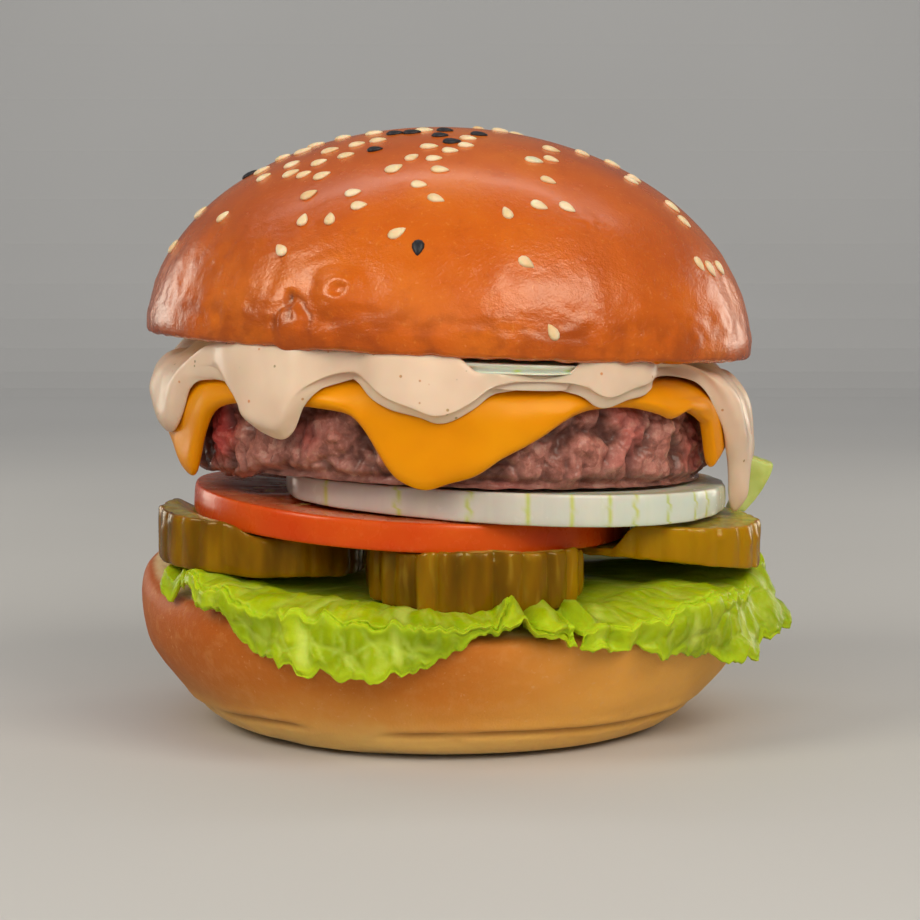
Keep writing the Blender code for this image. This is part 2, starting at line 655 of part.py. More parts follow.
def add_seeds(crown):
    frame = crown_frame()
    seeds = bpy.data.collections.new("seeds")
    bpy.context.scene.collection.children.link(seeds)
    for index, (slope, direction, twist) in enumerate(seed_spots()):
        radius, height = dome(slope, direction)
        here = Vector((*polar(direction, radius), height))
        out = Vector((here.x / CROWN_RADIUS ** 2, here.y / CROWN_RADIUS ** 2, (height - 0.5) / CROWN_RISE ** 2)).normalized()
        turn = out.to_track_quat('Z', 'Y').to_matrix().to_4x4() @ Matrix.Rotation(math.radians(twist), 4, 'Z')
        form = bmesh.new()
        bmesh.ops.create_uvsphere(form, u_segments=5, v_segments=3, radius=1.0)
        for vertex in form.verts:
            along = vertex.co.x
            taper = 1.0 - 0.35 * along
            vertex.co = Vector((along * SEED_SIZE[0], vertex.co.y * SEED_SIZE[1] * taper, vertex.co.z * SEED_SIZE[2] + 0.12))
        form.transform(Matrix.Scale(MM, 4) @ frame @ Matrix.Translation(here) @ turn)
        seed = finish_mesh(form, f"seed_{index:02d}")
        bpy.context.scene.collection.objects.unlink(seed)
        seeds.objects.link(seed)
    union = crown.modifiers.new("seeds", 'BOOLEAN')
    union.operation = 'UNION'
    union.solver = 'EXACT'
    union.operand_type = 'COLLECTION'
    union.collection = seeds
    bpy.context.view_layer.update()
    fused = bpy.data.meshes.new_from_object(crown.evaluated_get(bpy.context.evaluated_depsgraph_get()))
    crown.modifiers.clear()
    crown.data = fused
    fused.name = "bun_top"
    for seed in list(seeds.objects):
        bpy.data.objects.remove(seed)
    bpy.data.collections.remove(seeds)


def main():
    for thing in list(bpy.data.objects):
        bpy.data.objects.remove(thing)
    burger = bpy.data.collections.new("stacked_burger")
    bpy.context.scene.collection.children.link(burger)
    make_heel()
    for name in LEAVES:
        make_leaf(name)
    for name in PICKLES:
        make_pickle(name)
    make_tomato()
    make_onion()
    make_rib()
    make_patty()
    make_cheese()
    make_sauce()
    make_thin_onion()
    add_seeds(make_crown())
    for thing in list(bpy.context.scene.collection.objects):
        bpy.context.scene.collection.objects.unlink(thing)
        burger.objects.link(thing)


main()
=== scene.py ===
# %% [markdown]
# # A tall stacked burger, dressed piece by piece
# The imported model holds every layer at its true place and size. This lesson gives each layer the finer shape and the
# finish of real food, from the heel of the bun upwards, and ends with the light.

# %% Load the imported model
import math
import random
import bmesh
import bpy
import numpy as np
from mathutils import Matrix, Vector, noise
from mathutils.kdtree import KDTree


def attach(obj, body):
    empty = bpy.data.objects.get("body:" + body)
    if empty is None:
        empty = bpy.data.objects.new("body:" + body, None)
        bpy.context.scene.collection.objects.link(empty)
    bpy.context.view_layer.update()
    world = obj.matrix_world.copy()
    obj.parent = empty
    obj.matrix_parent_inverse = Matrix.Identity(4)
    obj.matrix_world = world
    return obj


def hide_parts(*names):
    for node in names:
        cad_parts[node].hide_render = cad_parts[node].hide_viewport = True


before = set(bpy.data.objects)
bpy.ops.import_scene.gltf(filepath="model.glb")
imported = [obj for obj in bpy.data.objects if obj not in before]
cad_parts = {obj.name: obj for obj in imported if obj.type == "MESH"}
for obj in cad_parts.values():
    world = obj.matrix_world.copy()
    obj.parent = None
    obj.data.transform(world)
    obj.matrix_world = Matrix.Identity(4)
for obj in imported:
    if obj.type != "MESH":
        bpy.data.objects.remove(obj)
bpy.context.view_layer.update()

MM = 0.001

# %% [markdown]
# ## Camera
# The burger is seen from the front, almost level, from about half a metre. A long lens keeps the layers nearly
# parallel. The same numbers also tell where a point of the burger appears in the picture, and which point of the
# dome lies behind a given pixel, so that seeds and wrinkles can be put where they are seen.

# %% Camera and its sight lines


def placed(name, data):
    """Object in the scene that shows a mesh, or is a camera or light."""
    made = bpy.data.objects.new(name, data)
    bpy.context.scene.collection.objects.link(made)
    return made


EYE = Vector((2.0, -480.0, 82.2))                # mm
PITCH = math.radians(4.2)
FOCAL_PX, FRAME_PX = 2616.0, 920.0
camera = placed("camera", bpy.data.cameras.new("camera"))
camera.location = EYE * MM
camera.rotation_euler = (math.radians(90.0) - PITCH, 0.0, 0.0)
camera.data.sensor_width = 36.0
camera.data.lens = 36.0 * FOCAL_PX / FRAME_PX
camera.data.clip_start = 0.01
bpy.context.scene.camera = camera
bpy.context.scene.view_settings.view_transform = 'Standard'


def seen_at(point):
    """Pixel at which a point, in mm, appears."""
    away = Vector(point) - EYE
    depth = away.y * math.cos(PITCH) - away.z * math.sin(PITCH)
    up = away.y * math.sin(PITCH) + away.z * math.cos(PITCH)
    return FRAME_PX / 2 + FOCAL_PX * away.x / depth, FRAME_PX / 2 - FOCAL_PX * up / depth


def sight_line(u, v):
    """Direction from the eye through a pixel."""
    a, b = (u - FRAME_PX / 2) / FOCAL_PX, (FRAME_PX / 2 - v) / FOCAL_PX
    return Vector((a, math.cos(PITCH) + b * math.sin(PITCH), b * math.cos(PITCH) - math.sin(PITCH))).normalized()


print("lens", round(camera.data.lens, 1), "mm; base centre seen at", [round(p) for p in seen_at((0, 0, 0))])

# %% [markdown]
# ## Small sums that several layers share
# Soft food has no straight edge and no flat face. A cubic step fades one form into the next, slow waves make a
# round outline uneven, and smooth noise makes dents and lumps. Each of them gives the same answer on every run.

# %% Steps, tables, waves and noise


def heading(x, y):
    """Direction of a point, 0 to 360 degrees."""
    return math.degrees(math.atan2(y, x)) % 360.0


def smooth(low, high, value):
    """Cubic step from 0 at low to 1 at high."""
    share = min(max((value - low) / (high - low), 0.0), 1.0)
    return share * share * (3.0 - 2.0 * share)


def curve(table, value):
    """Straight-line reading of a table of (position, reading) pairs."""
    for (a, before), (b, after) in zip(table, table[1:]):
        if value <= b:
            return before + (after - before) * max(value - a, 0.0) / (b - a)
    return table[-1][1]


def ripple(degrees, name, size, lowest=2, highest=7):
    """Sum of slow waves round a circle, the same on every run for one name."""
    draw = random.Random(name)
    total = 0.0
    for count in range(lowest, highest + 1):
        phase, share = draw.uniform(0.0, 360.0), draw.uniform(0.5, 1.0)
        total += share * math.sin(math.radians(count * degrees + phase)) / math.sqrt(count)
    return size * total / math.sqrt(highest - lowest + 1)


def bumps(point, scale, name):
    """Smooth noise in -1..1 with features about `scale` mm wide."""
    shift = sum(map(ord, name)) * 3.7
    return noise.noise(Vector((point[0] / scale + shift, point[1] / scale - shift, point[2] / scale + 0.5 * shift)))


def lumps(point, scale, name):
    """Distance to the nearest lump's centre and to the border with the next one, in lump widths."""
    shift = Vector((sum(map(ord, name)) * 1.3, 7.1, -3.3))
    distances, _ = noise.voronoi(Vector(point) / scale + shift)
    return distances[0], distances[1] - distances[0]


def polar(degrees, radius, centre=(0.0, 0.0)):
    turn = math.radians(degrees)
    return centre[0] + radius * math.cos(turn), centre[1] + radius * math.sin(turn)


print("step half way", smooth(0, 1, 0.5), "wave", round(ripple(30.0, "dome", 1.0), 3))

# %% [markdown]
# ## Two ways of making a layer
# The heel, leaves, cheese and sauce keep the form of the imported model, so each starts as a welded copy of its node:
# the triangles are paired, subdivision rounds them, and every point is then moved a little by a rule of its own.
# The dome, the patty and the round slices need an even, fine skin, so they start as a ball whose rings are put in
# place one by one. Either way the piece takes over from its node and rides on the same body.

# %% Settling a piece


def mesh_of(form, name):
    """Ends a form and gives it back as a mesh."""
    mesh = bpy.data.meshes.new(name)
    form.to_mesh(mesh)
    form.free()
    return mesh


def settle(name, mesh, nodes=()):
    """Object that shows a mesh, rides on the burger and stands for its nodes."""
    piece = placed(name, mesh)
    for polygon in mesh.polygons:
        polygon.use_smooth = True
    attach(piece, "root")
    if nodes:
        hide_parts(*nodes)
    return piece


def places_of(mesh):
    flat = np.empty(len(mesh.vertices) * 3)
    mesh.vertices.foreach_get("co", flat)
    return flat.reshape(-1, 3)

# %% Copying, rounding and moving points


def welded(node):
    """Form of a CAD node, its loose triangles joined."""
    form = bmesh.new()
    form.from_mesh(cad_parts[node].data)
    bmesh.ops.remove_doubles(form, verts=form.verts, dist=0.004 * MM)
    return form


def fine_copy(node, flatness, hold):
    """Mesh of a CAD node, paired into quads and rounded so that it still passes through its old points."""
    form = welded(node)
    bmesh.ops.join_triangles(form, faces=form.faces, angle_face_threshold=math.radians(flatness),
                             angle_shape_threshold=math.radians(130.0))
    rough = mesh_of(form, node + "_rough")
    holder = placed(node + "_rough", rough)
    rounding = holder.modifiers.new("rounding", 'SUBSURF')
    rounding.levels = rounding.render_levels = 1
    wanted = places_of(rough)
    control = wanted.copy()
    for _ in range(4):                       # push the cage out by what rounding took away
        bpy.context.view_layer.update()
        soft = holder.evaluated_get(bpy.context.evaluated_depsgraph_get()).to_mesh()
        control += hold * (wanted - places_of(soft)[:len(wanted)])
        holder.evaluated_get(bpy.context.evaluated_depsgraph_get()).to_mesh_clear()
        rough.vertices.foreach_set("co", control.ravel())
        rough.update()
    rounding.levels = rounding.render_levels = 3
    bpy.context.view_layer.update()
    mesh = bpy.data.meshes.new_from_object(holder.evaluated_get(bpy.context.evaluated_depsgraph_get()))
    print(node, "rounding error mm", round(float(np.abs(wanted - places_of(mesh)[:len(wanted)]).max() / MM), 3))
    bpy.data.objects.remove(holder)
    mesh.name = node + "_dressed"
    return mesh


def soften(mesh, rounds, free=lambda vertex: True):
    """Evens out the folds of a mesh, at the vertices that are free to move."""
    form = bmesh.new()
    form.from_mesh(mesh)
    loose = [vertex for vertex in form.verts if free(vertex)]
    for _ in range(rounds):
        bmesh.ops.smooth_vert(form, verts=loose, factor=0.5, use_axis_x=True, use_axis_y=True, use_axis_z=True)
    form.to_mesh(mesh)
    form.free()


def move_points(mesh, rule):
    """Moves each point: rule(place in mm, normal) gives its new place and a dict of readings kept as attributes."""
    normals = [vertex.normal.copy() for vertex in mesh.vertices]
    kept = {}
    for vertex, normal in zip(mesh.vertices, normals):
        place, readings = rule(vertex.co / MM, normal)
        vertex.co = Vector(place) * MM
        for key, value in readings.items():
            kept.setdefault(key, []).append(value)
    for key, values in kept.items():
        mesh.attributes.new(key, 'FLOAT', 'POINT').data.foreach_set("value", values)
    mesh.update()


def dressed(node, rule, flatness=40.0, hold=0.9, even=lambda mesh: None):
    """Piece that keeps the form of its node: rounded, evened out and moved by a rule."""
    mesh = fine_copy(node, flatness, hold)
    even(mesh)
    move_points(mesh, rule)
    print(node, "faces", len(mesh.polygons))
    return settle(node + "_dressed", mesh, [node])

# %% Balls and slices, ring by ring


def shaped_ball(name, columns, rows, place):
    """Mesh from a ball of `rows` rings: place(row, direction in degrees) gives each point in mm and its readings."""
    form = bmesh.new()
    bmesh.ops.create_uvsphere(form, u_segments=columns, v_segments=rows, radius=1.0)
    step, kept = 360.0 / columns, []
    for vertex in form.verts:
        row = round(math.acos(max(-1.0, min(1.0, vertex.co.z))) / math.pi * rows)
        column = round(math.degrees(math.atan2(vertex.co.y, vertex.co.x)) / step) % columns
        spot, readings = place(row, column * step)
        vertex.co = Vector(spot) * MM
        kept.append(readings)
    bmesh.ops.recalc_face_normals(form, faces=form.faces)
    mesh = mesh_of(form, name)
    for key in kept[0]:
        mesh.attributes.new(key, 'FLOAT', 'POINT').data.foreach_set("value", [readings[key] for readings in kept])
    return mesh


def slice_mesh(name, columns, centre, radius, low, high, marks, rim=1.3, faces=22, wall=26):
    """Round slice with a squarish rim: its rings cross the top, run down the wall and come back under.

    marks(spot, share of the radius, level, degrees) gives a push outwards, a lift and the readings to keep."""
    rows = 2 * faces + wall

    def place(row, degrees):
        edge = radius(degrees)
        if row <= faces or row >= faces + wall:
            reach, level = (edge - rim) * min(row, rows - row) / faces, float(row <= faces)
        else:
            turn = math.pi * (row - faces) / wall
            reach = edge - rim + rim * math.sin(turn) ** 0.4
            level = 0.5 + 0.5 * math.copysign(abs(math.cos(turn)) ** 0.6, math.cos(turn))
        x, y = polar(degrees, reach, centre)
        z = low(x, y) + (high(x, y) - low(x, y)) * level
        push, lift, readings = marks(Vector((x, y, z)), reach / edge, level, degrees)
        x, y = polar(degrees, reach + push, centre)
        return (x, y, z + lift), readings

    return shaped_ball(name, columns, rows, place)


print("tools ready")

# %% [markdown]
# ## Finishes as sums
# A finish is a web of nodes, and most of it is arithmetic. `Signal` wraps one socket, so that `1 - mask * 0.5` adds
# the Math nodes by itself. `Finish` starts a material and adds any other node. Colours are given as they look on
# a screen, 0 to 255, and turned into light values.

# %% Colours and signals


def light_value(level):
    level /= 255.0
    return level / 12.92 if level <= 0.04045 else ((level + 0.055) / 1.055) ** 2.4


def paint(red, green, blue):
    return light_value(red), light_value(green), light_value(blue), 1.0


class Signal:
    """One socket of a finish. Operators on it add Math nodes."""

    def __init__(self, finish, socket):
        self.finish, self.socket = finish, socket

    def math(self, operation, first, second):
        return self.finish.add("Math", {"operation": operation}, {0: first, 1: second})

    def __add__(self, other): return self.math('ADD', self, other)
    def __radd__(self, other): return self.math('ADD', other, self)
    def __sub__(self, other): return self.math('SUBTRACT', self, other)
    def __rsub__(self, other): return self.math('SUBTRACT', other, self)
    def __mul__(self, other): return self.math('MULTIPLY', self, other)
    def __rmul__(self, other): return self.math('MULTIPLY', other, self)
    def __truediv__(self, other): return self.math('DIVIDE', self, other)
    def __rtruediv__(self, other): return self.math('DIVIDE', other, self)
    def __gt__(self, other): return self.math('GREATER_THAN', self, other)

# %% Finishes


class Finish:
    """A material whose shader is wired by name.

    soft: share of the light that goes into it, and how far in mm; shine and glint: strength and colour of its
    reflections; film: weight and roughness of the wet film on it."""

    def __init__(self, name, soft=(0.0, 1.0), shine=0.5, glint=(1.0, 1.0, 1.0), film=(0.0, 0.03)):
        constants = {"Subsurface Weight": soft[0], "Subsurface Scale": soft[1] * MM, "Specular IOR Level": shine,
                     "Specular Tint": (*glint, 1.0), "Coat Weight": film[0], "Coat Roughness": film[1]}
        self.shade = None
        self.material = bpy.data.materials.new(name)
        self.material.use_nodes = True
        self.tree = self.material.node_tree
        self.shader = self.tree.nodes["Principled BSDF"]
        for key, value in constants.items():
            self.shader.inputs[key].default_value = value
        self.place = self.add("TexCoord", {}, {}, "Object")

    def feed(self, socket, value):
        if isinstance(value, Signal):
            self.tree.links.new(value.socket, socket)
        else:
            socket.default_value = value

    def add(self, kind, settings, inputs, output=0):
        node = self.tree.nodes.new("ShaderNode" + kind)
        for key, value in settings.items():
            if key == "stops":
                while len(node.color_ramp.elements) < len(value):
                    node.color_ramp.elements.new(0.5)
                for element, (position, colour) in zip(node.color_ramp.elements, value):
                    element.position, element.color = position, colour
            else:
                setattr(node, key, value)
        for key, value in inputs.items():
            self.feed(node.inputs[key], value)
        return Signal(self, node.outputs[output])

    def noise(self, size, detail=3.0, rough=0.5, stretch=None):
        """Smooth noise 0 to 1 with features about `size` mm wide."""
        where = self.place
        if stretch:
            where = self.add("Mapping", {}, {"Vector": self.place, "Scale": stretch})
        return self.add("TexNoise", {}, {"Vector": where, "Scale": 1.0 / (size * MM), "Detail": detail,
                                         "Roughness": rough})

    def cells(self, size, output="Distance", where=None):
        inputs = {"Vector": where or self.place, "Scale": 1.0 / (size * MM)}
        return self.add("TexVoronoi", {"feature": 'F1'}, inputs, output)

    def draw(self, size, where=None):
        """A number for each cell, 0 to 1."""
        return self.add("SeparateColor", {}, {"Color": self.cells(size, "Color", where)}, "Red")

    def bent(self, size, amount):
        """The place pushed about by up to `amount` mm, so that cells lose their straight borders."""
        push = self.add("TexNoise", {}, {"Vector": self.place, "Scale": 1.0 / (size * MM), "Detail": 3.0}, "Color")
        push = self.add("VectorMath", {"operation": 'SUBTRACT'}, {0: push, 1: (0.5, 0.5, 0.5)})
        push = self.add("VectorMath", {"operation": 'SCALE'}, {0: push, "Scale": 2.0 * amount * MM})
        return self.add("VectorMath", {"operation": 'ADD'}, {0: self.place, 1: push})

    def along(self, axis):
        """Coordinate of the place, in mm."""
        return self.add("SeparateXYZ", {}, {"Vector": self.place}, axis) * (1.0 / MM)

    def fade(self, value, low, high):
        """0 below low, 1 above high."""
        return self.add("MapRange", {"interpolation_type": 'SMOOTHSTEP'},
                        {"Value": value, "From Min": low, "From Max": high})

    def reading(self, name):
        """A value kept on the mesh."""
        return self.add("Attribute", {"attribute_name": name}, {}, "Fac")

    def mix(self, share, first, second):
        node = self.tree.nodes.new("ShaderNodeMix")
        node.data_type = 'RGBA'
        for index, value in ((0, share), (6, first), (7, second)):
            self.feed(node.inputs[index], paint(*value) if isinstance(value, tuple) else value)
        return Signal(self, node.outputs[2])

    def over(self, share, colour):
        """Paints a colour over the shade so far."""
        self.shade = self.mix(share, self.shade, colour)

    def tint(self, value, *stops):
        """Ramp of colours; a stop is a position and a screen colour."""
        stops = [(position, paint(*colour)) for position, *colour in stops]
        return self.add("ValToRGB", {"stops": stops}, {"Fac": value})

    def relief(self, height, depth, strength=1.0):
        """Small relief: `height` 0 to 1 stands for `depth` mm."""
        bump = self.add("Bump", {}, {"Height": height, "Distance": depth * MM, "Strength": strength}, "Normal")
        self.feed(self.shader.inputs["Normal"], bump)

    def wear(self, piece, **sockets):
        """Wires the shader's sockets and puts the finish on a piece."""
        for key, value in {"Base_Color": self.shade, **sockets}.items():
            self.feed(self.shader.inputs[key.replace("_", " ")], value)
        piece.data.materials.clear()
        piece.data.materials.append(self.material)


print("paint for a golden crust", [round(c, 3) for c in paint(205, 100, 30)])

# %% [markdown]
# ## Heel of the bun
# The heel is a soft round of dough that baked on a tray: tan at the shoulder, pale at the foot where the heat came
# late, with a crease where the foot folded over. The copied form gets the crease as a shallow ring with gaps, low
# waves in the skin and a few pits; the rest is colour by height, with painted shade in the crease.

# %% Heel
HEEL_CREASE = 4.3            # mm above the base
HEEL_X = -0.7
LIP_RISE = 2.4               # the rim stands up a little at the left


def left_lip(x, y):
    """Rise of the heel's rim at its left end, in mm."""
    degrees = heading(x - HEEL_X, y)
    return LIP_RISE * smooth(30.0, 8.0, abs(degrees - 176.0)) * smooth(45.0, 53.0, math.hypot(x - HEEL_X, y))


def heel_rule(place, normal):
    degrees = math.degrees(math.atan2(place.y, place.x - HEEL_X))
    side = smooth(0.5, 2.5, place.z) * smooth(0.9, 0.3, normal.z)
    line = max(HEEL_CREASE + ripple(degrees, "crease", 0.9, 2, 9), 3.1)
    broken = smooth(-0.25, 0.15, bumps(place, 14.0, "broken crease"))
    groove = math.exp(-((place.z - line) / 0.55) ** 2) * broken
    lip = math.exp(-((place.z - line - 1.3) / 0.9) ** 2) * broken
    puckers = smooth(6.5, 2.0, place.z) * 0.7 * bumps((place.x, place.y, place.z * 0.4), 2.6, "pucker")
    skin = 0.10 * bumps(place, 5.0, "heel skin") + 0.05 * bumps(place, 1.9, "heel skin fine")
    pits, _ = lumps(place, 9.0, "pits")
    pit = -0.22 * smooth(0.14, 0.03, pits)
    out = side * (-0.75 * groove + 0.22 * lip + 0.20 * puckers + skin + pit)
    crumb = smooth(0.8, 0.97, normal.z) * smooth(18.0, 24.0, place.z)
    out += crumb * 0.25 * bumps(place, 1.6, "cut crumb")
    moved = place + normal * out
    moved.z = max(moved.z, 0.0) + left_lip(place.x, place.y) * smooth(13.0, 26.0, place.z)
    return moved, {"crease": groove * side, "cut": crumb * smooth(55.0, 52.0, math.hypot(place.x - HEEL_X, place.y))}


heel = dressed("bun_bottom", heel_rule, even=lambda mesh: soften(mesh, 40))

# %% Heel finish
crust = Finish("Baked heel crust", (0.12, 2.0), 0.34, (1.0, 0.78, 0.55), (0.06, 0.35))
height = crust.along("Z")
across = crust.along("X")
wave = height + crust.noise(16.0, 2.0) * 5.0 - 2.5 + crust.noise(3.0, 3.0) * 1.6 - 0.8
crust.shade = crust.tint(wave / 26.0, (0.0, 236, 194, 112), (0.13, 232, 182, 98), (0.27, 220, 148, 64),
                         (0.45, 210, 122, 38), (0.75, 202, 106, 28), (1.0, 188, 90, 22))
redder = crust.fade(0.0 - across, 20.0, 52.0) * crust.fade(height, 3.0, 9.0)
crust.over(redder * 0.5, (172, 82, 30))
crust.over(crust.fade(across, -10.0, 50.0) * 0.85, (250, 188, 86))
mottle = crust.fade(crust.noise(2.2, 4.0, 0.6), 0.45, 0.75)
crust.over(mottle * 0.25, (226, 160, 96))
freckle = crust.fade(crust.noise(0.9, 2.0), 0.66, 0.74)
crust.over(freckle * 0.35, (232, 176, 118))
# painted shade: the crease groove is darkened where shade falls in it
crust.over(crust.reading("crease") * 0.55, (140, 88, 40))
crust.over(crust.reading("cut"), crust.tint(crust.noise(1.8, 4.0, 0.65), (0.3, 226, 190, 130), (0.7, 244, 222, 176)))
crust.relief(crust.noise(1.1, 4.0, 0.6) * 0.6 + crust.noise(0.35, 2.0) * 0.4, 0.22, 0.7)
crust.wear(heel, Roughness=0.42 + crust.noise(6.0) * 0.2)
print("heel finish nodes", len(crust.tree.nodes))

# %% [markdown]
# ## Lettuce
# A leaf is a sheet less than a millimetre thick, stiff along its pale veins and puffed up between them. The copied
# sheets already bend over the heel. Veins, puffs and teeth are added by moving both faces of the sheet the same way,
# so that it keeps its thickness, and the veins are kept as a reading for the colour.

# %% Leaves
LEAF_START = 50.5            # where a leaf bends over the heel's rim


def rim_tree(node):
    """Points along the thin rim of a leaf, for finding how near a point is to the edge."""
    form = welded(node)
    sharp = [edge for edge in form.edges if len(edge.link_faces) == 2 and edge.calc_face_angle() > math.radians(55.0)]
    points = [edge.verts[0].co.lerp(edge.verts[1].co, k / 5.0) / MM for edge in sharp for k in range(5)]
    form.free()
    tree = KDTree(len(points))
    for index, point in enumerate(points):
        tree.insert(point, index)
    tree.balance()
    return tree


def leaf_rule(name, tree):

    def rule(place, normal):
        away = Vector((place.x - HEEL_X, place.y))
        run = away.length + 1.2 * max(26.0 - place.z, 0.0)
        degrees = math.degrees(math.atan2(away.y, away.x))
        lean = degrees + 5.0 * bumps(place, 17.0, name) + 2.0 * bumps(place, 6.0, name + "fine")
        loose = smooth(40.0, 50.0, run)
        rim = tree.find(place)[2]
        vein = 0.0
        for every, width, weight in ((17.0, 1.15, 1.0), (5.6, 0.55, 0.6), (2.3, 0.35, 0.32)):
            bent = lean + (run - 50.0) * 0.22 * (1 if every != 5.6 else -1)
            gap = abs((bent / every) % 1.0 - 0.5) * every * 0.9
            vein = max(vein, weight * smooth(width, width * 0.25, gap))
        _, border = lumps(place, 5.2, name + "puff")
        vein = max(vein, smooth(0.16, 0.02, border) * 0.36) * smooth(0.3, 2.5, rim)
        out = Vector((away.x, away.y, 0.0)).normalized()
        bend = min(max(run - LEAF_START, 0.0) / 6.0, math.radians(78.0))
        sheet = out * math.sin(bend) + Vector((0.0, 0.0, math.cos(bend)))        # both faces move the same way
        puff = 0.75 * (smooth(0.0, 0.45, border) - 0.5) - 0.40 * vein + 0.35 * bumps(place, 2.6, name + "crinkle")
        puff += 1.5 * smooth(36.0, 47.0, run) * smooth(68.0, 55.0, run)                  # no fold line at the rim
        curl = 0.45 * bumps(place, 8.0, name + "wave") + 1.7 * max(0.25 + bumps(place, 9.0, name + "swell"), 0.0)
        near = smooth(6.0, 0.5, rim) * loose
        ruffle = near * 0.9 * bumps((degrees * 0.9, run * 0.2, 3.0), 3.2, name + "ruffle")
        gathered = smooth(16.0, 6.0, abs((degrees % 360.0) - 290.0))
        ruffle += gathered * near * 1.3 * (0.5 + math.sin(math.radians(degrees * 54.0)))
        tooth = smooth(3.5, 0.0, rim) * loose * (2.1 * bumps((degrees * 0.95, 0.0, 0.0), 2.6, name + "tooth")
                                                 + 1.0 * bumps((degrees * 0.95, 0.0, 0.0), 1.1, name + "nick"))
        calm = 1.0 - 0.85 * smooth(230.0, 212.0, degrees % 360.0) * (name == "lettuce_left")
        push = (puff + curl) * loose * smooth(0.0, 0.5, rim) * 0.8 + ruffle
        moved = place + sheet * push * calm + Vector((out.x * 0.2, out.y * 0.2, -1.0)) * tooth
        moved.x += 1.8 * smooth(-43.0, -51.0, place.x)
        moved.z += left_lip(moved.x, moved.y)
        return moved, {"vein": vein, "edge": smooth(1.6, 0.2, rim) * loose}
    return rule


def leaf_piece(node):
    tree = rim_tree(node)
    return dressed(node, leaf_rule(node, tree), 80.0, 0.8,
                   lambda mesh: soften(mesh, 60, lambda vertex: tree.find(vertex.co / MM)[2] > 1.3))


leaves = [leaf_piece(node) for node in ("lettuce_left", "lettuce_right", "lettuce_back")]

# %% Leaf finish
waxy = Finish("Crisp lettuce", (0.3, 1.5), 0.4, (0.9, 1.0, 0.5))
waxy.shade = waxy.tint(waxy.noise(11.0, 3.0), (0.3, 130, 152, 0), (0.5, 158, 178, 0), (0.72, 186, 202, 18))
patch = waxy.fade(waxy.noise(3.2, 3.0, 0.6), 0.5, 0.75)
waxy.over(patch * 0.35, (112, 150, 0))
waxy.over(waxy.reading("vein") * 0.6, (210, 222, 100))
waxy.over(waxy.reading("edge") * 0.5, (196, 222, 40))
waxy.relief(waxy.noise(0.9, 3.0) * 0.5 + waxy.noise(2.0, 2.0) * 0.5, 0.3, 0.75)
for leaf in leaves:
    waxy.wear(leaf, Roughness=0.28 + waxy.noise(4.0) * 0.22)

# %% [markdown]
# ## Stalk at the right
# A short thick piece of the leaf's middle rib stands against the end of the onion. It is paler than the leaves and
# almost smooth, with faint lines along it.

# %% Stalk


def stalk_rule(place, normal):
    lines = bumps((place.x * 0.9, place.y * 0.9, place.z * 0.12), 1.0, "stalk")
    return place + normal * (0.10 * lines + 0.2 * bumps(place, 5.0, "stalk bend")), {"lines": lines * 0.5 + 0.5}


stalk = dressed("lettuce_rib", stalk_rule, 30.0)
stem = Finish("Pale stalk", (0.4, 2.0), 0.35)
stem.shade = stem.tint(stem.noise(4.0, 2.0), (0.3, 172, 186, 74), (0.7, 200, 210, 116))
stem.over(stem.reading("lines") * 0.3, (214, 222, 150))
stem.relief(stem.noise(0.6, 2.0, stretch=(1.0, 1.0, 0.15)), 0.12, 0.5)
stem.wear(stalk, Roughness=0.3 + stem.noise(2.0) * 0.15)
print("stalk finish nodes", len(stem.tree.nodes))

# %% [markdown]
# ## Pickle slices
# A pickled cucumber slice is glassy flesh inside a darker ribbed skin. Each slice lies between the leaf under it and
# the tomato above, so both surfaces are written as heights that the slice follows. Upright grooves and streaks
# sharpen the ribs, brine makes the slice shine, and the flat faces show flesh with pale seeds in a ring.

# %% What the pickles lie between
GAP = 0.35
TOMATO_AT, TOMATO_RADIUS, TOMATO_THICK = (-6.7, -8.0), 39.5, 5.0
# How far the leaves bulge up to meet the pickles: direction, rise
LEAF_RISE = ((150, 0.4), (175, 1.8), (200, 2.5), (216, 2.4), (232, 1.2), (250, 0.2), (300, 0.2), (312, 2.0),
             (326, 4.0), (342, 4.9), (357, 4.7), (372, 3.4), (390, 1.4), (412, 0.4), (450, 0.2), (509, 0.2))
# Centre, half sizes, height and lean of the base, ribs and their depth, and how far the rim rises beyond the tomato
PICKLES = {
    "pickle_left": ((-33.0, -18.5), (18.2, 19.5), 30.0, (-0.060, 0.010), 24, 0.4, (1.9, -0.5, 3.0)),
    "pickle_front": ((4.6, -32.0), (18.3, 18.6), 26.6, (-0.010, 0.110), 23, 1.0, (1.4, -0.5, 2.5)),
    "pickle_right": ((37.3, -14.5), (17.8, 19.0), 30.6, (-0.090, -0.060), 24, 0.45, (4.6, 1.5, 7.0)),
    "pickle_back": ((2.0, 27.0), (20.5, 19.0), 28.6, (-0.030, -0.010), 25, 0.9, (0.5, 0.0, 3.0))}


def heel_cut(x, y):
    return 25.4 - 0.045 * x + 0.055 * y


def tomato_base(x, y):
    """Under face of the tomato: leaning, and drooping where it overhangs the front."""
    ahead = -(y + 8.0)
    soft = 6.0 * math.log1p(math.exp(-abs(ahead) / 6.0)) + max(ahead, 0.0)
    return 37.3 - 0.054 * (x + 6.7) + 0.01 * (y + 8.0) - 0.05 * soft


def onion_base(x, y):
    return tomato_base(x, y) + TOMATO_THICK + GAP


def leaf_roof(x, y):
    """Height of the bulging leaves at a point."""
    run = math.hypot(x - HEEL_X, y)
    degrees = math.degrees(math.atan2(y, x - HEEL_X))
    rise = curve(LEAF_RISE, (degrees - 150.0) % 360.0 + 150.0) * smooth(9.0, 30.0, run)
    return heel_cut(x, y) + rise + 1.3

# %% Pickle slices


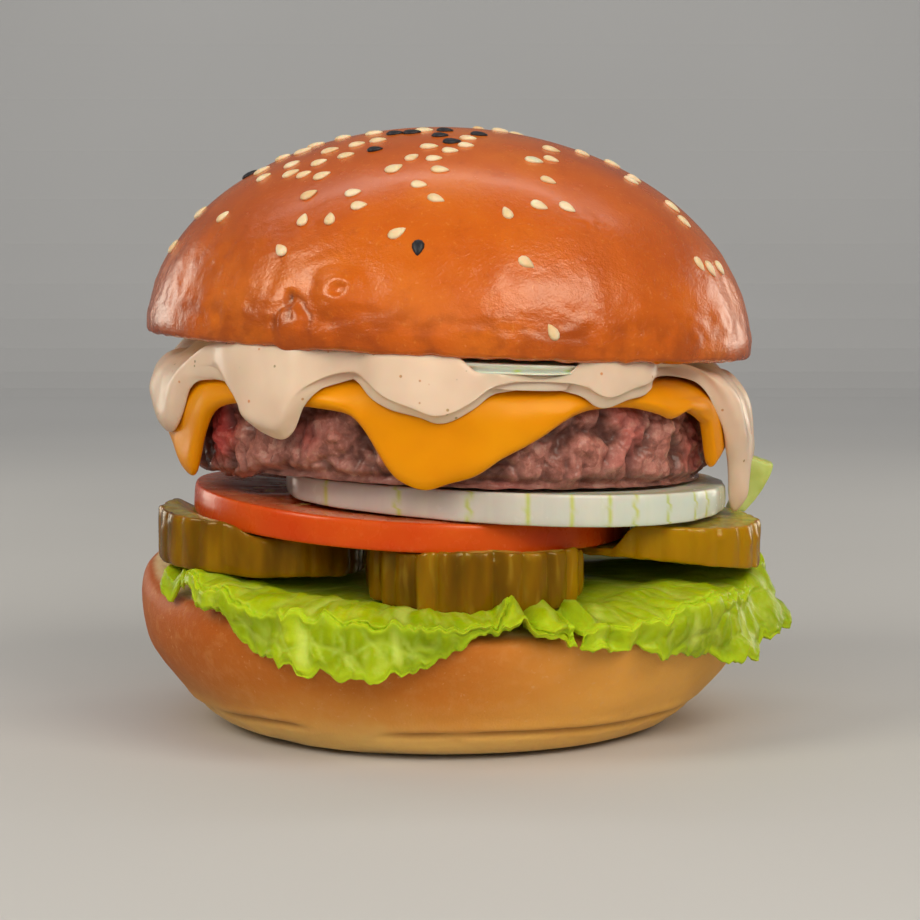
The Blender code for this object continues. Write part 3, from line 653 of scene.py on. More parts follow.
def pickle_mesh(name):
    centre, half, base, lean, ribs, cut, (lift, near, far) = PICKLES[name]

    def radius(degrees):
        turn = math.radians(degrees)
        spread = half[0] * half[1] / math.hypot(half[1] * math.cos(turn), half[0] * math.sin(turn))
        swing = math.radians(degrees * ribs / 2.0 + 26.0 * math.sin(3.0 * turn))
        return spread + ripple(degrees, name, 0.7, 2, 4) + 1.15 * cut * (abs(math.sin(swing)) ** 0.7 - 0.65)

    def low(x, y):
        return max(base + lean[0] * (x - centre[0]) + lean[1] * (y - centre[1]), leaf_roof(x, y) - 0.5)

    def high(x, y):
        beyond = math.hypot(x - TOMATO_AT[0], y - TOMATO_AT[1]) - TOMATO_RADIUS
        return min(tomato_base(x, y) - 0.3 + lift * smooth(near, far, beyond), onion_base(x, y) - 0.2)

    def marks(spot, share, level, degrees):
        side = smooth(0.93, 0.975, share)
        upright = (spot.x, spot.y, spot.z * 0.25)
        groove, streak = cut * bumps(upright, 3.0, name + "groove"), cut * bumps(upright, 1.1, name + "streak")
        wart = smooth(0.3, 0.05, lumps(spot, 4.0, name + "wart")[0])
        push = side * (0.30 * groove + 0.14 * streak + 0.30 * bumps(spot, 5.0, name) + 0.25 * wart)
        lift_off = 0.2 * bumps(spot, 2.4, name + "cut") + 0.35 * bumps((spot.x, spot.y, 0.0), 9.0, name + "bow")
        ring = share * half[0] + 0.6 * math.sin(math.radians(degrees * 6.0))
        kept = {"skin": side, "streak": 0.5 + 0.5 * streak, "groove": 0.5 + 0.5 * groove, "ring": ring}
        return push, lift_off, kept

    return slice_mesh(name + "_dressed", 260, centre, radius, low, high, marks, 1.0, 14, 30)


pickles = [settle(name + "_dressed", pickle_mesh(name), [name]) for name in PICKLES]
print("pickle faces", [len(pickle.data.polygons) for pickle in pickles])

# %% Pickle finish
brined = Finish("Brined pickle", (0.45, 2.0), 0.4, (1.0, 0.86, 0.4), (0.2, 0.06))
skin_tone = brined.tint(brined.noise(5.0, 2.0, stretch=(1.0, 1.0, 0.3)), (0.25, 92, 62, 0), (0.5, 126, 84, 0),
                        (0.75, 156, 112, 4))
skin_tone = brined.mix(brined.fade(brined.reading("streak"), 0.55, 0.85) * 0.35, skin_tone, (176, 146, 44))
east = brined.fade(brined.along("X"), 16.0, 26.0)
skin_tone = brined.mix(east * 0.7, skin_tone, (186, 136, 0))
skin_tone = brined.mix(brined.fade(brined.reading("groove"), 0.5, 0.15) * 0.45, skin_tone, (70, 46, 0))
flesh = brined.tint(brined.noise(2.5, 3.0), (0.3, 150, 130, 34), (0.7, 184, 166, 72))
seed_ring = brined.fade(brined.reading("ring"), 13.5, 10.0) * brined.fade(brined.cells(2.6), 0.32, 0.12)
flesh = brined.mix(seed_ring * 0.7, flesh, (214, 200, 130))
brined.shade = brined.mix(brined.reading("skin"), flesh, skin_tone)
brined.relief(brined.noise(0.8, 3.0, stretch=(1.0, 1.0, 0.4)), 0.2, 0.5)
for pickle in pickles:
    brined.wear(pickle, Roughness=0.16 + brined.noise(3.0) * 0.16)

# %% [markdown]
# ## Tomato slice
# A tomato slice has a thin glossy skin round its edge, firm flesh inside it, and pockets of seeds in jelly. Only
# the skin and a strip of the cut face show, but the slice runs through the whole stack, so the cut is finished too.

# %% Tomato


def tomato_marks(spot, share, level, degrees):
    face = smooth(0.985, 0.965, share)
    pocket = (smooth(0.15, 0.45, abs(math.sin(math.radians(degrees * 2.5)))) * smooth(0.2, 0.34, share)
              * smooth(0.86, 0.76, share))
    lift = face * (0.12 * bumps(spot, 2.2, "tomato cut") - 0.35 * pocket) * (1.0 if level > 0.5 else -1.0)
    push = 0.10 * bumps(spot, 9.0, "tomato skin") - 0.35 * level * (1.0 - face)
    return push, lift, {"cut": face, "pocket": pocket * face, "rim": smooth(0.93, 0.97, share)}


tomato_mesh = slice_mesh("tomato_dressed", 300, TOMATO_AT, lambda a: TOMATO_RADIUS + ripple(a, "tomato", 0.5, 3, 5),
                         tomato_base, lambda x, y: tomato_base(x, y) + TOMATO_THICK, tomato_marks, 0.9)
tomato = settle("tomato_dressed", tomato_mesh, ["tomato"])
print("tomato faces", len(tomato_mesh.polygons))

# %% Tomato finish
ripe = Finish("Ripe tomato", (0.25, 2.0), 0.35, (1.0, 0.7, 0.5), (0.22, 0.16))
peel = ripe.tint(ripe.noise(14.0, 2.0), (0.3, 204, 62, 8), (0.7, 216, 86, 18))
peel = ripe.mix(ripe.fade(ripe.noise(0.7, 2.0), 0.6, 0.8) * 0.22, peel, (236, 130, 76))
wet = ripe.tint(ripe.noise(2.4, 4.0, 0.6), (0.3, 206, 84, 36), (0.7, 232, 134, 84))
jelly = ripe.mix(ripe.fade(ripe.cells(3.4), 0.36, 0.26), (176, 64, 16), (236, 200, 120))
wet = ripe.mix(ripe.reading("pocket"), wet, jelly)
wet = ripe.mix(ripe.reading("rim") * 0.6, wet, (240, 150, 110))
ripe.shade = ripe.mix(ripe.reading("cut"), peel, wet)
ripe.relief(ripe.noise(1.0, 3.0), 0.1, 0.4)
ripe.wear(tomato, Roughness=0.2 + ripe.noise(5.0) * 0.15)

# %% [markdown]
# ## Onion slices
# An onion slice is a nest of rings. Its side is the white outer scale, glassy, with thin yellow-green veins that
# run straight up, so they are placed by the direction in which each is seen; the cut faces show the rings as fine
# steps. A thinner slice lies under the dome and shows a short stretch of its edge.

# %% Onions
ONION_AT, ONION_RADIUS = (11.3, -7.5), 38.8
VEINS_SEEN = (345, 401, 467, 526, 571, 608, 635, 667, 694, 707)
ONION_SHOWS = 283.5          # direction in which the thin slice shows its edge


def directions_of(columns, centre, radius, height):
    """Directions, in degrees, at which upright lines on a round side show in the given picture columns."""
    found = []
    for column in columns:
        found.append(min((a / 4.0 for a in range(4 * 180, 4 * 360)),
                         key=lambda a: abs(seen_at((*polar(a, radius, centre), height))[0] - column)))
    return found


def onion_marks(name, place, degrees, reach, side, veins, layers):
    """Relief along the normal and readings: upright veins on the wall, rings on the cut faces."""
    reach += 0.5 * bumps(place, 16.0, name)
    line = max(smooth(0.75, 0.2, abs(degrees % 360.0 - vein - 0.25 * (place.z % 3.0))) for vein in veins)
    faint = smooth(0.25, 0.6, bumps((degrees * 0.8, 0.0, 0.0), 1.3, name))
    step = (reach / layers) % 1.0
    ring = smooth(0.14, 0.0, min(step, 1.0 - step))
    wall = 0.14 * math.sin(math.radians(degrees * 26.0)) - 0.05 * line + 0.12 * bumps(place, 4.0, name)
    return (wall * side, -0.22 * ring * (1.0 - side),
            {"vein": line * side, "faint": faint * side, "ring": ring * (1.0 - side), "side": side})


ONION_OUTLINE = ((0.0, 38.4), (40.0, 38.8), (90.0, 38.0), (140.0, 38.4), (175.0, 38.9), (198.0, 41.5), (212.0, 45.0),
                 (226.0, 42.6), (245.0, 39.6), (270.0, 38.8), (315.0, 39.2), (360.0, 38.4))


def patty_base(x, y):
    return 46.2 - 0.040 * x + 0.012 * y


def soft_reading(table, value):
    """Reading of a table with eased steps between its entries."""
    return sum(curve(table, (value + shift) % 360.0) for shift in (-9.0, -6.0, -3.0, 0.0, 3.0, 6.0, 9.0)) / 7.0


def thick_onion_marks(spot, share, level, degrees):
    side = smooth(0.965, 0.985, share)
    wall, face, readings = onion_marks("onion", spot, degrees, share * ONION_RADIUS, side, onion_veins, 5.2)
    return wall, face * (1.0 if level > 0.5 else -1.0), readings


def thin_onion_rule(place, normal):
    away = Vector((place.x, place.y + 1.0))
    degrees = heading(away.x, away.y)
    side = smooth(0.85, 0.5, abs(normal.z))
    wall, face, readings = onion_marks("onion_top", place, degrees, away.length, side, thin_veins, 6.1)
    edge = smooth(44.0, 49.0, away.length)
    forward = away.normalized() * 2.6 * smooth(17.0, 9.0, abs(degrees - ONION_SHOWS)) * edge
    return place + normal * (wall + face) + Vector((forward.x, forward.y, -0.4 * edge)), readings


onion_veins = directions_of(VEINS_SEEN, ONION_AT, ONION_RADIUS, 44.5) + [a + 0.7 for a in range(4, 176, 13)]
thin_veins = directions_of((455, 514, 566), (0.0, -1.0), 52.0, 65.0) + [float(a) for a in range(10, 350, 17)]
onion_mesh = slice_mesh("onion_dressed", 360, ONION_AT, lambda a: soft_reading(ONION_OUTLINE, a), onion_base,
                        lambda x, y: min(onion_base(x, y) + 5.7, patty_base(x, y) - 0.4), thick_onion_marks, 0.9)
onion = settle("onion_dressed", onion_mesh, ["onion"])
thin_onion = dressed("onion_top", thin_onion_rule, 35.0)
print("veins at", [round(a) for a in onion_veins[:10]], "faces", len(onion_mesh.polygons))

# %% Onion finish
glassy = Finish("Raw onion", (0.4, 2.0), 0.35, film=(0.2, 0.2))
scale = glassy.mix(glassy.fade(glassy.along("X"), -8.0, 44.0), (206, 191, 180), (213, 219, 203))
streaks = glassy.fade(glassy.noise(5.0, 3.0, stretch=(1.0, 1.0, 0.2)), 0.4, 0.75)
scale = glassy.mix(streaks * 0.4, scale, (226, 222, 200))
scale = glassy.mix(glassy.reading("faint") * 0.25, scale, (196, 206, 140))
scale = glassy.mix(glassy.reading("vein") * 0.8, scale, (196, 202, 66))
ringed = glassy.mix(glassy.reading("ring") * 0.7, (232, 230, 208), (176, 186, 120))
glassy.shade = glassy.mix(glassy.reading("side"), ringed, scale)
glassy.relief(glassy.noise(1.2, 3.0, stretch=(1.0, 1.0, 0.2)), 0.12, 0.4)
for onion_slice in (onion, thin_onion):
    glassy.wear(onion_slice, Roughness=0.18 + glassy.noise(4.0) * 0.14)

# %% [markdown]
# ## Patty
# Coarse minced beef cooks into grains and strands with deep gaps between them, browned outside and still pink in
# places. Its side is a ball whose rings follow the imported form; nearest-point lumps in three sizes are pushed in
# between, and the depth is kept so that painted shade can make the gaps darker than the crests; the foot gets painted
# shade too.

# %% Patty
PATTY_AT, PATTY_RADIUS, PATTY_EDGE = (0.0, -1.0), 49.3, 5.5
PATTY_COLUMNS, PATTY_ROWS, PATTY_TOP_ROWS, PATTY_FOOT_ROWS = 720, 98, 9, 8
LOBE_AT = 207.0              # direction in which the foot hangs lower


def patty_top(x):
    return 62.1 - 0.035 * x


def patty_reach(degrees):
    return PATTY_RADIUS + ripple(degrees, "patty", 0.5, 2, 4)


def patty_place(row, degrees):
    radius = patty_reach(degrees)
    side_rows = PATTY_ROWS - PATTY_TOP_ROWS - PATTY_FOOT_ROWS
    if row <= PATTY_TOP_ROWS:                                   # the top, under the cheese
        reach = (radius - PATTY_EDGE) * row / PATTY_TOP_ROWS
        x, y = polar(degrees, reach, PATTY_AT)
        z = patty_top(x) - 0.3 - 0.3 * (1.0 + bumps((x, y, 0.0), 3.0, "top"))
        return (x, y, z), {"depth": 0.3, "foot": 0.0}
    if row >= PATTY_ROWS - PATTY_FOOT_ROWS:
        reach = (radius - 3.4) * (PATTY_ROWS - row) / PATTY_FOOT_ROWS
        x, y = polar(degrees, reach, PATTY_AT)
        z = patty_base(x, y) + 0.25 * (1.0 + bumps((x, y, 0.0), 3.0, "foot"))
        return (x, y, z), {"depth": 0.4, "foot": 1.0}
    x, y = polar(degrees, radius, PATTY_AT)
    share = (row - PATTY_TOP_ROWS) / side_rows
    lobe = 2.4 * smooth(24.0, 10.0, abs(degrees - LOBE_AT))
    high, low = patty_top(x), patty_base(x, y) + 0.7 - lobe
    z = high + (low - high) * share
    into_round = max(z - high + PATTY_EDGE, 0.0)
    round_top = PATTY_EDGE * (1.0 - math.sqrt(max(1.0 - into_round ** 2 / PATTY_EDGE ** 2, 0.0)))
    round_foot = 3.0 * smooth(0.86, 1.0, share) ** 2
    here = Vector((x, y, z))
    crag = 1.0 + bumps(here, 6.0, "crag") + 0.6 * bumps(here, 2.6, "crumb")
    twist = Vector([bumps(here, 5.0, axis) for axis in "abc"]) * 1.7
    twist += Vector([bumps(here, 1.6, axis) for axis in "def"]) * 0.6
    spot = Vector((x, y, z * 0.8)) + twist
    chunk, _ = lumps(spot, 7.0, "chunks")
    grain, _ = lumps(spot, 3.2, "grains")
    crumb, _ = lumps(spot, 1.7, "crumbs")
    open_here = smooth(-0.35, 0.35, bumps(here, 9.0, "open"))
    deep = (1.6 + 1.4 * open_here) * chunk * chunk + 1.5 * grain * grain + 0.75 * crumb * crumb
    deep += 0.12 * (1.0 + bumps(here, 0.8, "fine"))
    total = 1.0 * max(crag - 0.15, 0.0) + deep * smooth(0.02, 0.12, share) * smooth(1.0, 0.93, share)
    x, y = polar(degrees, radius - round_top - round_foot - 0.05 - total, PATTY_AT)
    z += 0.3 * bumps(here, 3.0, "slip")
    return (x, y, z), {"depth": min(total / 3.6, 1.0), "foot": smooth(0.75, 1.0, share)}


patty_mesh = shaped_ball("patty_dressed", PATTY_COLUMNS, PATTY_ROWS, patty_place)
patty = settle("patty_dressed", patty_mesh, ["patty"])
print("patty faces", len(patty_mesh.polygons))

# %% Patty finish
beef = Finish("Grilled minced beef", (0.12, 1.2), 0.4, film=(0.35, 0.12))
grain_draw = beef.draw(2.6, beef.bent(1.6, 1.4))
beef.shade = beef.tint(grain_draw * 0.22 + beef.noise(2.2, 5.0, 0.7) * 0.78, (0.3, 132, 77, 63), (0.45, 174, 107, 91),
                       (0.57, 196, 127, 111), (0.75, 222, 168, 146))
pink = beef.fade(beef.noise(13.0, 2.0), 0.50, 0.66)
beef.over(pink * 0.45, (200, 92, 84))
rare_at = (-41.0 * MM, -27.0 * MM, 54.5 * MM)
rare = beef.add("VectorMath", {"operation": 'DISTANCE'}, {0: beef.place, 1: rare_at}, "Value")
rare = beef.fade(rare, 8.5 * MM, 3.0 * MM)
beef.over(rare * 0.75, (186, 44, 42))
beef.over(beef.fade(beef.noise(1.1, 3.0, 0.7), 0.55, 0.8) * 0.3, (222, 178, 156))
west = beef.fade(beef.along("X"), -12.0, -34.0)
beef.over(west * (1.0 - rare) * 0.18, (104, 58, 44))
# painted shade: the deep gaps between grains are darkened
gap = beef.fade(beef.reading("depth"), 0.40, 0.92)
beef.over(gap * 0.75, (58, 28, 20))
# painted shade: the lower wall and underside of the patty are darkened
beef.over(beef.reading("foot") * 0.35, (78, 50, 40))
beef.relief(beef.noise(0.5, 4.0, 0.7) * 0.6 + beef.noise(1.5, 3.0) * 0.4, 0.4, 0.85)
beef.wear(patty, Roughness=0.3 + beef.noise(1.6, 3.0) * 0.3)

# %% [markdown]
# ## Melted cheese
# A square slice that has melted over the patty: its corners hang down, its edge is rounded and a little thicker
# where it gathered, and the surface is satin. Rounding the copied sheet does most of it; long low waves make the
# highlights wander.

# %% Cheese
CHEESE_BEND = 60.0           # height below which the slice hangs


def cheese_rule(place, normal):
    out = 0.16 * bumps(place, 8.0, "cheese") + 0.05 * bumps(place, 3.0, "cheese fine")
    degrees = heading(place.x - PATTY_AT[0], place.y - PATTY_AT[1])
    drawn_up = 0.62 * smooth(318.0, 324.0, degrees) * smooth(335.5, 331.0, degrees)
    moved = place + normal * out
    moved.z += drawn_up * max(CHEESE_BEND - moved.z, 0.0)
    return moved, {}


cheese = dressed("cheese", cheese_rule, 60.0)
melted = Finish("Melted cheese slice", (0.2, 1.5), 0.4, (1.0, 0.8, 0.3), (0.08, 0.2))
melted.shade = melted.tint(melted.noise(12.0, 2.0), (0.3, 227, 138, 0), (0.7, 237, 151, 2))
melted.over(melted.fade(melted.noise(2.5, 3.0), 0.6, 0.85) * 0.3, (226, 132, 0))
melted.relief(melted.noise(4.0, 2.0) * 0.7 + melted.noise(0.8, 2.0) * 0.3, 0.18, 0.35)
melted.wear(cheese, Roughness=0.3 + melted.noise(5.0) * 0.12)
print("cheese finish nodes", len(melted.tree.nodes))

# %% [markdown]
# ## Sauce
# Thick cream sauce runs down in drips with full round ends and thin webs between them. The copied drips are pulled
# in against the cheese and get soft folds, and the upper edge rises to the dome, but for a gap where the thin onion
# shows. Flecks of herb and chilli lie in the sauce.

# %% Sauce
SAUCE_EDGE = 68.75           # height of the upper edge, in mm
SAUCE_DRAWN = 0.62           # how far the drips are pulled in


def sauce_rule(place, normal):
    away = Vector((place.x - PATTY_AT[0], place.y - PATTY_AT[1]))
    degrees = heading(away.x, away.y)
    hang = smooth(0.0, 7.0, 64.0 - place.z)
    out = 0.34 * bumps(place, 6.0, "sauce") + 0.12 * bumps(place, 2.8, "sauce folds")
    moved = place + normal * out
    shown = smooth(12.0, 8.0, abs(degrees - ONION_SHOWS))
    front = smooth(205.0, 224.0, degrees) * smooth(328.0, 312.0, degrees)
    front += smooth(178.0, 150.0, degrees) * smooth(2.0, 30.0, degrees)                 # and the same at the back
    rim = smooth(43.0, 46.5, away.length) * smooth(0.1, 0.6, normal.z) * smooth(56.0, 53.5, away.length)
    rim *= 1.0 - shown * smooth(52.5, 50.0, away.length)
    edge = SAUCE_EDGE - 2.7 * shown - 0.0463 * place.x + 0.014 * place.y
    moved.z += front * rim * max(edge - moved.z, 0.0)
    return moved - (away.normalized() * SAUCE_DRAWN * hang).to_3d(), {}


sauce = dressed("sauce", sauce_rule, 60.0)
soften(sauce.data, 4)
creamy = Finish("Cream sauce", (0.3, 2.0), 0.35, film=(0.15, 0.2))
creamy.shade = creamy.tint(creamy.noise(9.0, 2.0), (0.3, 224, 193, 165), (0.7, 236, 208, 180))
fleck = creamy.fade(creamy.cells(1.5), 0.22, 0.12) * (creamy.draw(1.5) > 0.86)
creamy.over(fleck * 0.75, creamy.tint(creamy.noise(5.0), (0.45, 204, 120, 40), (0.55, 120, 110, 50)))
creamy.relief(creamy.noise(3.0, 2.0), 0.15, 0.3)
creamy.wear(sauce, Roughness=0.28 + creamy.noise(4.0) * 0.14)
print("sauce finish nodes", len(creamy.tree.nodes))

# %% [markdown]
# ## Dome of the bun
# The upper bun is an egg-washed dome. Its skin is drum-tight near the top and wrinkles towards the rim, where it
# shrank as it cooled; a flap of crust hangs at the front left, with a round blister beside it. A ball of fine rings
# takes the dome's own formula, and each mark is placed by the pixel at which it is seen.

# %% Form of the dome
DOME_RIM, DOME_RADIUS, DOME_RISE, DOME_LIFT = 68.3, 55.3, 38.9, 0.5            # mm
dome_frame = (Matrix.Translation((0.0, 0.0, DOME_RIM)) @ Matrix.Rotation(math.radians(2.65), 4, 'Y')
              @ Matrix.Rotation(math.radians(0.8), 4, 'X'))


def dome(slope, degrees):
    """Radius and height of the outer skin at an angle from the top."""
    turn = math.radians(slope)
    radius = DOME_RADIUS * math.sin(turn) + smooth(20.0, 80.0, slope) * ripple(degrees, "dome", 0.45, 2, 6)
    return radius, DOME_RISE * math.cos(turn) + DOME_LIFT


def dome_slant(spot):
    """Direction in which the dome faces at a spot."""
    flat, tall = DOME_RADIUS ** 2, DOME_RISE ** 2
    return Vector((spot.x / flat, spot.y / flat, (spot.z - DOME_LIFT) / tall)).normalized()


def on_dome(u, v):
    """Point of the dome, in its own frame, that shows at a pixel; None where the line passes it by."""
    turn = dome_frame.inverted()
    start, ahead = turn @ EYE, turn.to_3x3() @ sight_line(u, v)
    squash = Vector((1.0 / DOME_RADIUS, 1.0 / DOME_RADIUS, 1.0 / DOME_RISE))
    a, d = (start - Vector((0, 0, DOME_LIFT))) * squash, ahead * squash
    half, full = a.dot(d), d.dot(d)
    under = half * half - full * (a.dot(a) - 1.0)
    if under < 0.0:
        return None
    return start + ahead * ((-half - math.sqrt(under)) / full)


BLISTER, FLAP, SCAR = on_dome(339, 291), on_dome(289, 333), on_dome(588, 222)
CREASE_TOP, CREASE_LOW = on_dome(289, 292), on_dome(291, 318)
DOME_COLUMNS, DOME_ROWS, SKIN_ROWS, SKIN_END = 440, 170, 134, 86.0     # the skin ends this many degrees from the top
LIP = ((55.3, 1.2), (54.9, 0.45), (54.0, 0.1), (51.5, 0.0), (48.0, 0.5), (44.0, 1.2), (34.0, 1.6), (22.0, 2.0),
       (0.0, 2.0))                                             # radius and height under the rim

# %% Marks in the skin


def skin_marks(spot, degrees, slope):
    """How far the skin stands out at a point of the dome, in mm, and how much painted shade it gets there, in the
    crease and beside the flap.
    """
    low = smooth(48.0, 74.0, slope)
    upright = (spot.x, spot.y, spot.z * 0.35)
    left = smooth(30.0, 12.0, abs(degrees - 232.0)) * smooth(52.0, 66.0, slope)
    out = (0.10 + 0.16 * low) * bumps(spot, 8.0, "skin") * smooth(15.0, 40.0, math.hypot(spot.x, spot.y))
    out += low * (0.09 * bumps(spot, 2.4, "dimple") + 0.04 * bumps(spot, 1.1, "dimple fine"))
    out += left * 0.16 * bumps(upright, 2.0, "wrinkle")
    out += smooth(70.0, SKIN_END, slope) * 0.22 * bumps((spot.x, spot.y, spot.z * 1.6), 2.8, "rim wrinkle")
    away = (spot - BLISTER).length + 0.7 * bumps(spot, 2.2, "blister")
    out += 0.75 * smooth(5.6, 2.2, away) - 0.50 * smooth(1.5, 0.5, away) + 0.25 * math.exp(-((away - 1.7) / 0.5) ** 2)
    flap = Vector((spot.x - FLAP.x, spot.y - FLAP.y, (spot.z - FLAP.z) * 0.6)).length + 0.9 * bumps(spot, 2.4, "flap")
    out += 1.0 * smooth(3.3, 2.0, flap) - 0.2 * math.exp(-((flap - 3.5) / 0.5) ** 2)
    along = CREASE_LOW - CREASE_TOP
    share = min(max((spot - CREASE_TOP).dot(along) / along.length_squared, 0.0), 1.0)
    crease = (spot - CREASE_TOP - along * share).length
    out -= 0.5 * smooth(0.9, 0.1, crease)
    scar = (spot - SCAR).length
    out += smooth(3.2, 1.0, scar) * (0.12 + 0.3 * bumps(spot, 1.0, "scar"))
    # painted shade in the crease and in a ring just outside the flap's edge
    dark = smooth(0.9, 0.0, crease) + smooth(3.2, 3.6, flap) * smooth(4.2, 3.7, flap) * 0.8
    return out, dark

# %% Dome, ring by ring


def dome_place(row, degrees):
    if row <= SKIN_ROWS:
        slope = SKIN_END * row / SKIN_ROWS
        radius, height = dome(slope, degrees)
        radius = 0.0 if row == 0 else radius
        spot = Vector((*polar(degrees, radius), height))
        out, dark = skin_marks(spot, degrees, slope)
        return dome_frame @ (spot + dome_slant(spot) * out), {
            "rim": smooth(60.0, SKIN_END, slope), "low": smooth(38.0, 62.0, slope), "dark": dark, "under": 0.0}
    share = (row - SKIN_ROWS) / (DOME_ROWS - SKIN_ROWS) * (len(LIP) - 1)
    index = min(int(share), len(LIP) - 2)
    radius, height = (LIP[index][k] + (LIP[index + 1][k] - LIP[index][k]) * (share - index) for k in (0, 1))
    edge = smooth(48.0, 54.0, radius)
    radius += edge * ripple(degrees, "dome", 0.45, 2, 6)
    spot = Vector((*polar(degrees, radius), height))
    rough = bumps(spot, 2.2, "lip") * (0.35 * edge) + (1.0 - edge) * 0.25 * bumps(spot, 1.6, "crumb")
    flap = Vector((spot.x - FLAP.x, spot.y - FLAP.y)).length
    spot.z += rough - 0.5 * edge * smooth(3.6, 1.6, flap)
    return dome_frame @ spot, {"rim": 1.0, "low": 1.0, "dark": 0.0, "under": smooth(53.5, 49.0, radius)}


dome_mesh = shaped_ball("bun_top_dressed", DOME_COLUMNS, DOME_ROWS, dome_place)
upper_bun = settle("bun_top_dressed", dome_mesh, ["bun_top"])
print("upper bun faces", len(dome_mesh.polygons), "blister at", [round(c, 1) for c in BLISTER])

# %% Dome finish
# The sheen comes from the crust itself and not from a coat, because a coat is smooth and would hide the wrinkles.
glaze = Finish("Egg-washed crust", (0.06, 2.0), 0.85, (1.0, 0.86, 0.70), (0.0, 0.12))
glaze.shade = glaze.tint(glaze.noise(22.0, 3.0), (0.3, 188, 80, 2), (0.5, 206, 94, 4), (0.72, 222, 114, 14))
glaze.over(glaze.fade(glaze.noise(3.0, 4.0, 0.65), 0.5, 0.8) * 0.35, (170, 66, 2))
glaze.over(glaze.fade(glaze.noise(0.8, 3.0, 0.6), 0.58, 0.75) * 0.3, (236, 150, 60))
baked = glaze.fade(glaze.along("X"), -8.0, -40.0) * glaze.fade(glaze.noise(12.0, 4.0), 0.3, 0.6)
glaze.over(baked * glaze.reading("low") * 0.5, (156, 58, 0))
rim_dark = glaze.fade(glaze.reading("rim"), 0.72, 1.0) * glaze.fade(glaze.noise(4.5, 4.0), 0.36, 0.64)
glaze.over(rim_dark * 0.5, (146, 58, 2))
# painted shade in the crease and beside the flap
glaze.over(glaze.reading("dark") * 0.6, (120, 50, 16))
crumb = glaze.tint(glaze.noise(1.6, 4.0, 0.65), (0.3, 226, 186, 120), (0.7, 244, 220, 170))
glaze.over(glaze.reading("under"), crumb)
grainy = glaze.noise(1.5, 4.0, 0.7, (1.0, 1.0, 1.4)) * 0.75 + glaze.noise(0.45, 2.0) * 0.25
glaze.relief(grainy * (0.25 + glaze.reading("low") * 0.75), 0.22, 0.8)
glaze.wear(upper_bun, Roughness=0.18 + glaze.noise(5.0, 3.0) * 0.14 + glaze.reading("under") * 0.4,
           Coat_Weight=0.15 - glaze.reading("under") * 0.15)
print("upper bun finish nodes", len(glaze.tree.nodes))

# %% [markdown]
# ## Seeds
# Sesame seeds are flat drops, about three millimetres long, that stuck to the egg wash. Those that are seen are put
# at their own pixels, with the turn that each has in the picture, and the far side is filled by a seeded draw.
# Pale and black seeds are two pieces, each one joined mesh.

# %% Seeds that show
# Column, row and turn of each seed that shows
PALE_SEEN = ((292, 165, 40), (291, 174, 15), (304, 175, 22), (319, 163, 28), (322, 176, 30), (309, 195, 36),
             (353, 193, 4), (359, 206, -6), (303, 220, 96), (330, 219, 100), (281, 250, 130), (397, 233, 40),
             (419, 185, -24), (436, 199, -40), (394, 169, 60), (412, 158, 70), (434, 159, 18), (440, 170, -20),
             (429, 147, 12), (450, 151, 0), (378, 141, 10), (374, 134, 5), (346, 156, 18), (330, 151, 8),
             (303, 152, 24), (283, 158, 30), (262, 171, 28), (264, 178, 20), (343, 138, 12), (424, 131, 0),
             (223, 217, 38), (201, 213, 40), (174, 247, 60), (468, 139, 4), (466, 146, 0), (535, 161, -8),
             (551, 160, -24), (533, 161, -12), (548, 181, -32), (507, 213, 96), (539, 206, -28), (567, 208, -45),
             (526, 263, -38), (553, 332, 118), (551, 150, -14), (582, 154, -22), (612, 164, -36), (631, 181, -18),
             (634, 179, -34), (672, 207, -48), (684, 222, -50), (699, 264, -62), (710, 269, -60), (719, 268, -60),
             (500, 129, -6), (357, 145, 14), (316, 145, 20))
BLACK_SEEN = ((250, 172, 20), (375, 150, -8), (395, 134, 4), (412, 133, 20), (445, 131, -30), (452, 142, 40),
              (479, 135, -10), (418, 248, -90), (440, 136, 30))
SEED_LENGTH, SEED_WIDTH, SEED_HEIGHT = 1.62, 1.02, 0.5          # half sizes, mm
print("seeds that show", len(PALE_SEEN), len(BLACK_SEEN))

# %% Where the seeds sit


def seed_seat(spot, twist_from, draw):
    """Frame of a seed that lies on the dome at a spot, its length along `twist_from`."""
    up = dome_slant(spot)
    degrees = heading(spot.x, spot.y)
    slope = math.degrees(math.acos(max(-1.0, min(1.0, (spot.z - DOME_LIFT) / DOME_RISE))))
    out, _ = skin_marks(spot, degrees, slope)
    along = (twist_from - up * twist_from.dot(up)).normalized()
    side = up.cross(along)
    turn = Matrix((along, side, up)).transposed().to_4x4()
    size = draw.uniform(0.88, 1.08)
    size = Matrix.Diagonal((size, size * draw.uniform(0.92, 1.08), 1.0, 1.0))
    return Matrix.Translation(spot + up * (out + 0.12)) @ turn @ size


def seeds_seen(seen, draw):
    turn = dome_frame.inverted().to_3x3()
    seats = []
    for u, v, angle in seen:
        spot = on_dome(u, v)
        nudge = v
        while spot is None:                                     # on the skyline: just inside it
            nudge += 0.5
            spot = on_dome(u, nudge)
        tip = math.radians(angle)
        direction = turn @ Vector((math.cos(tip), -math.sin(tip) * math.sin(PITCH), math.sin(tip)))
        seats.append(seed_seat(spot, direction, draw))
    return seats


def seeds_behind(count, draw):
    seats = []
    for _ in range(count):
        slope, degrees = 3.0 + 70.0 * draw.random() ** 0.85, draw.uniform(8.0, 172.0)
        radius, rise = dome(slope, degrees)
        turn = draw.uniform(0.0, 2.0 * math.pi)
        lies = Vector((math.cos(turn), math.sin(turn), 0.3))
        seats.append(seed_seat(Vector((*polar(degrees, radius), rise)), lies, draw))
    return seats

# %% Seed pieces


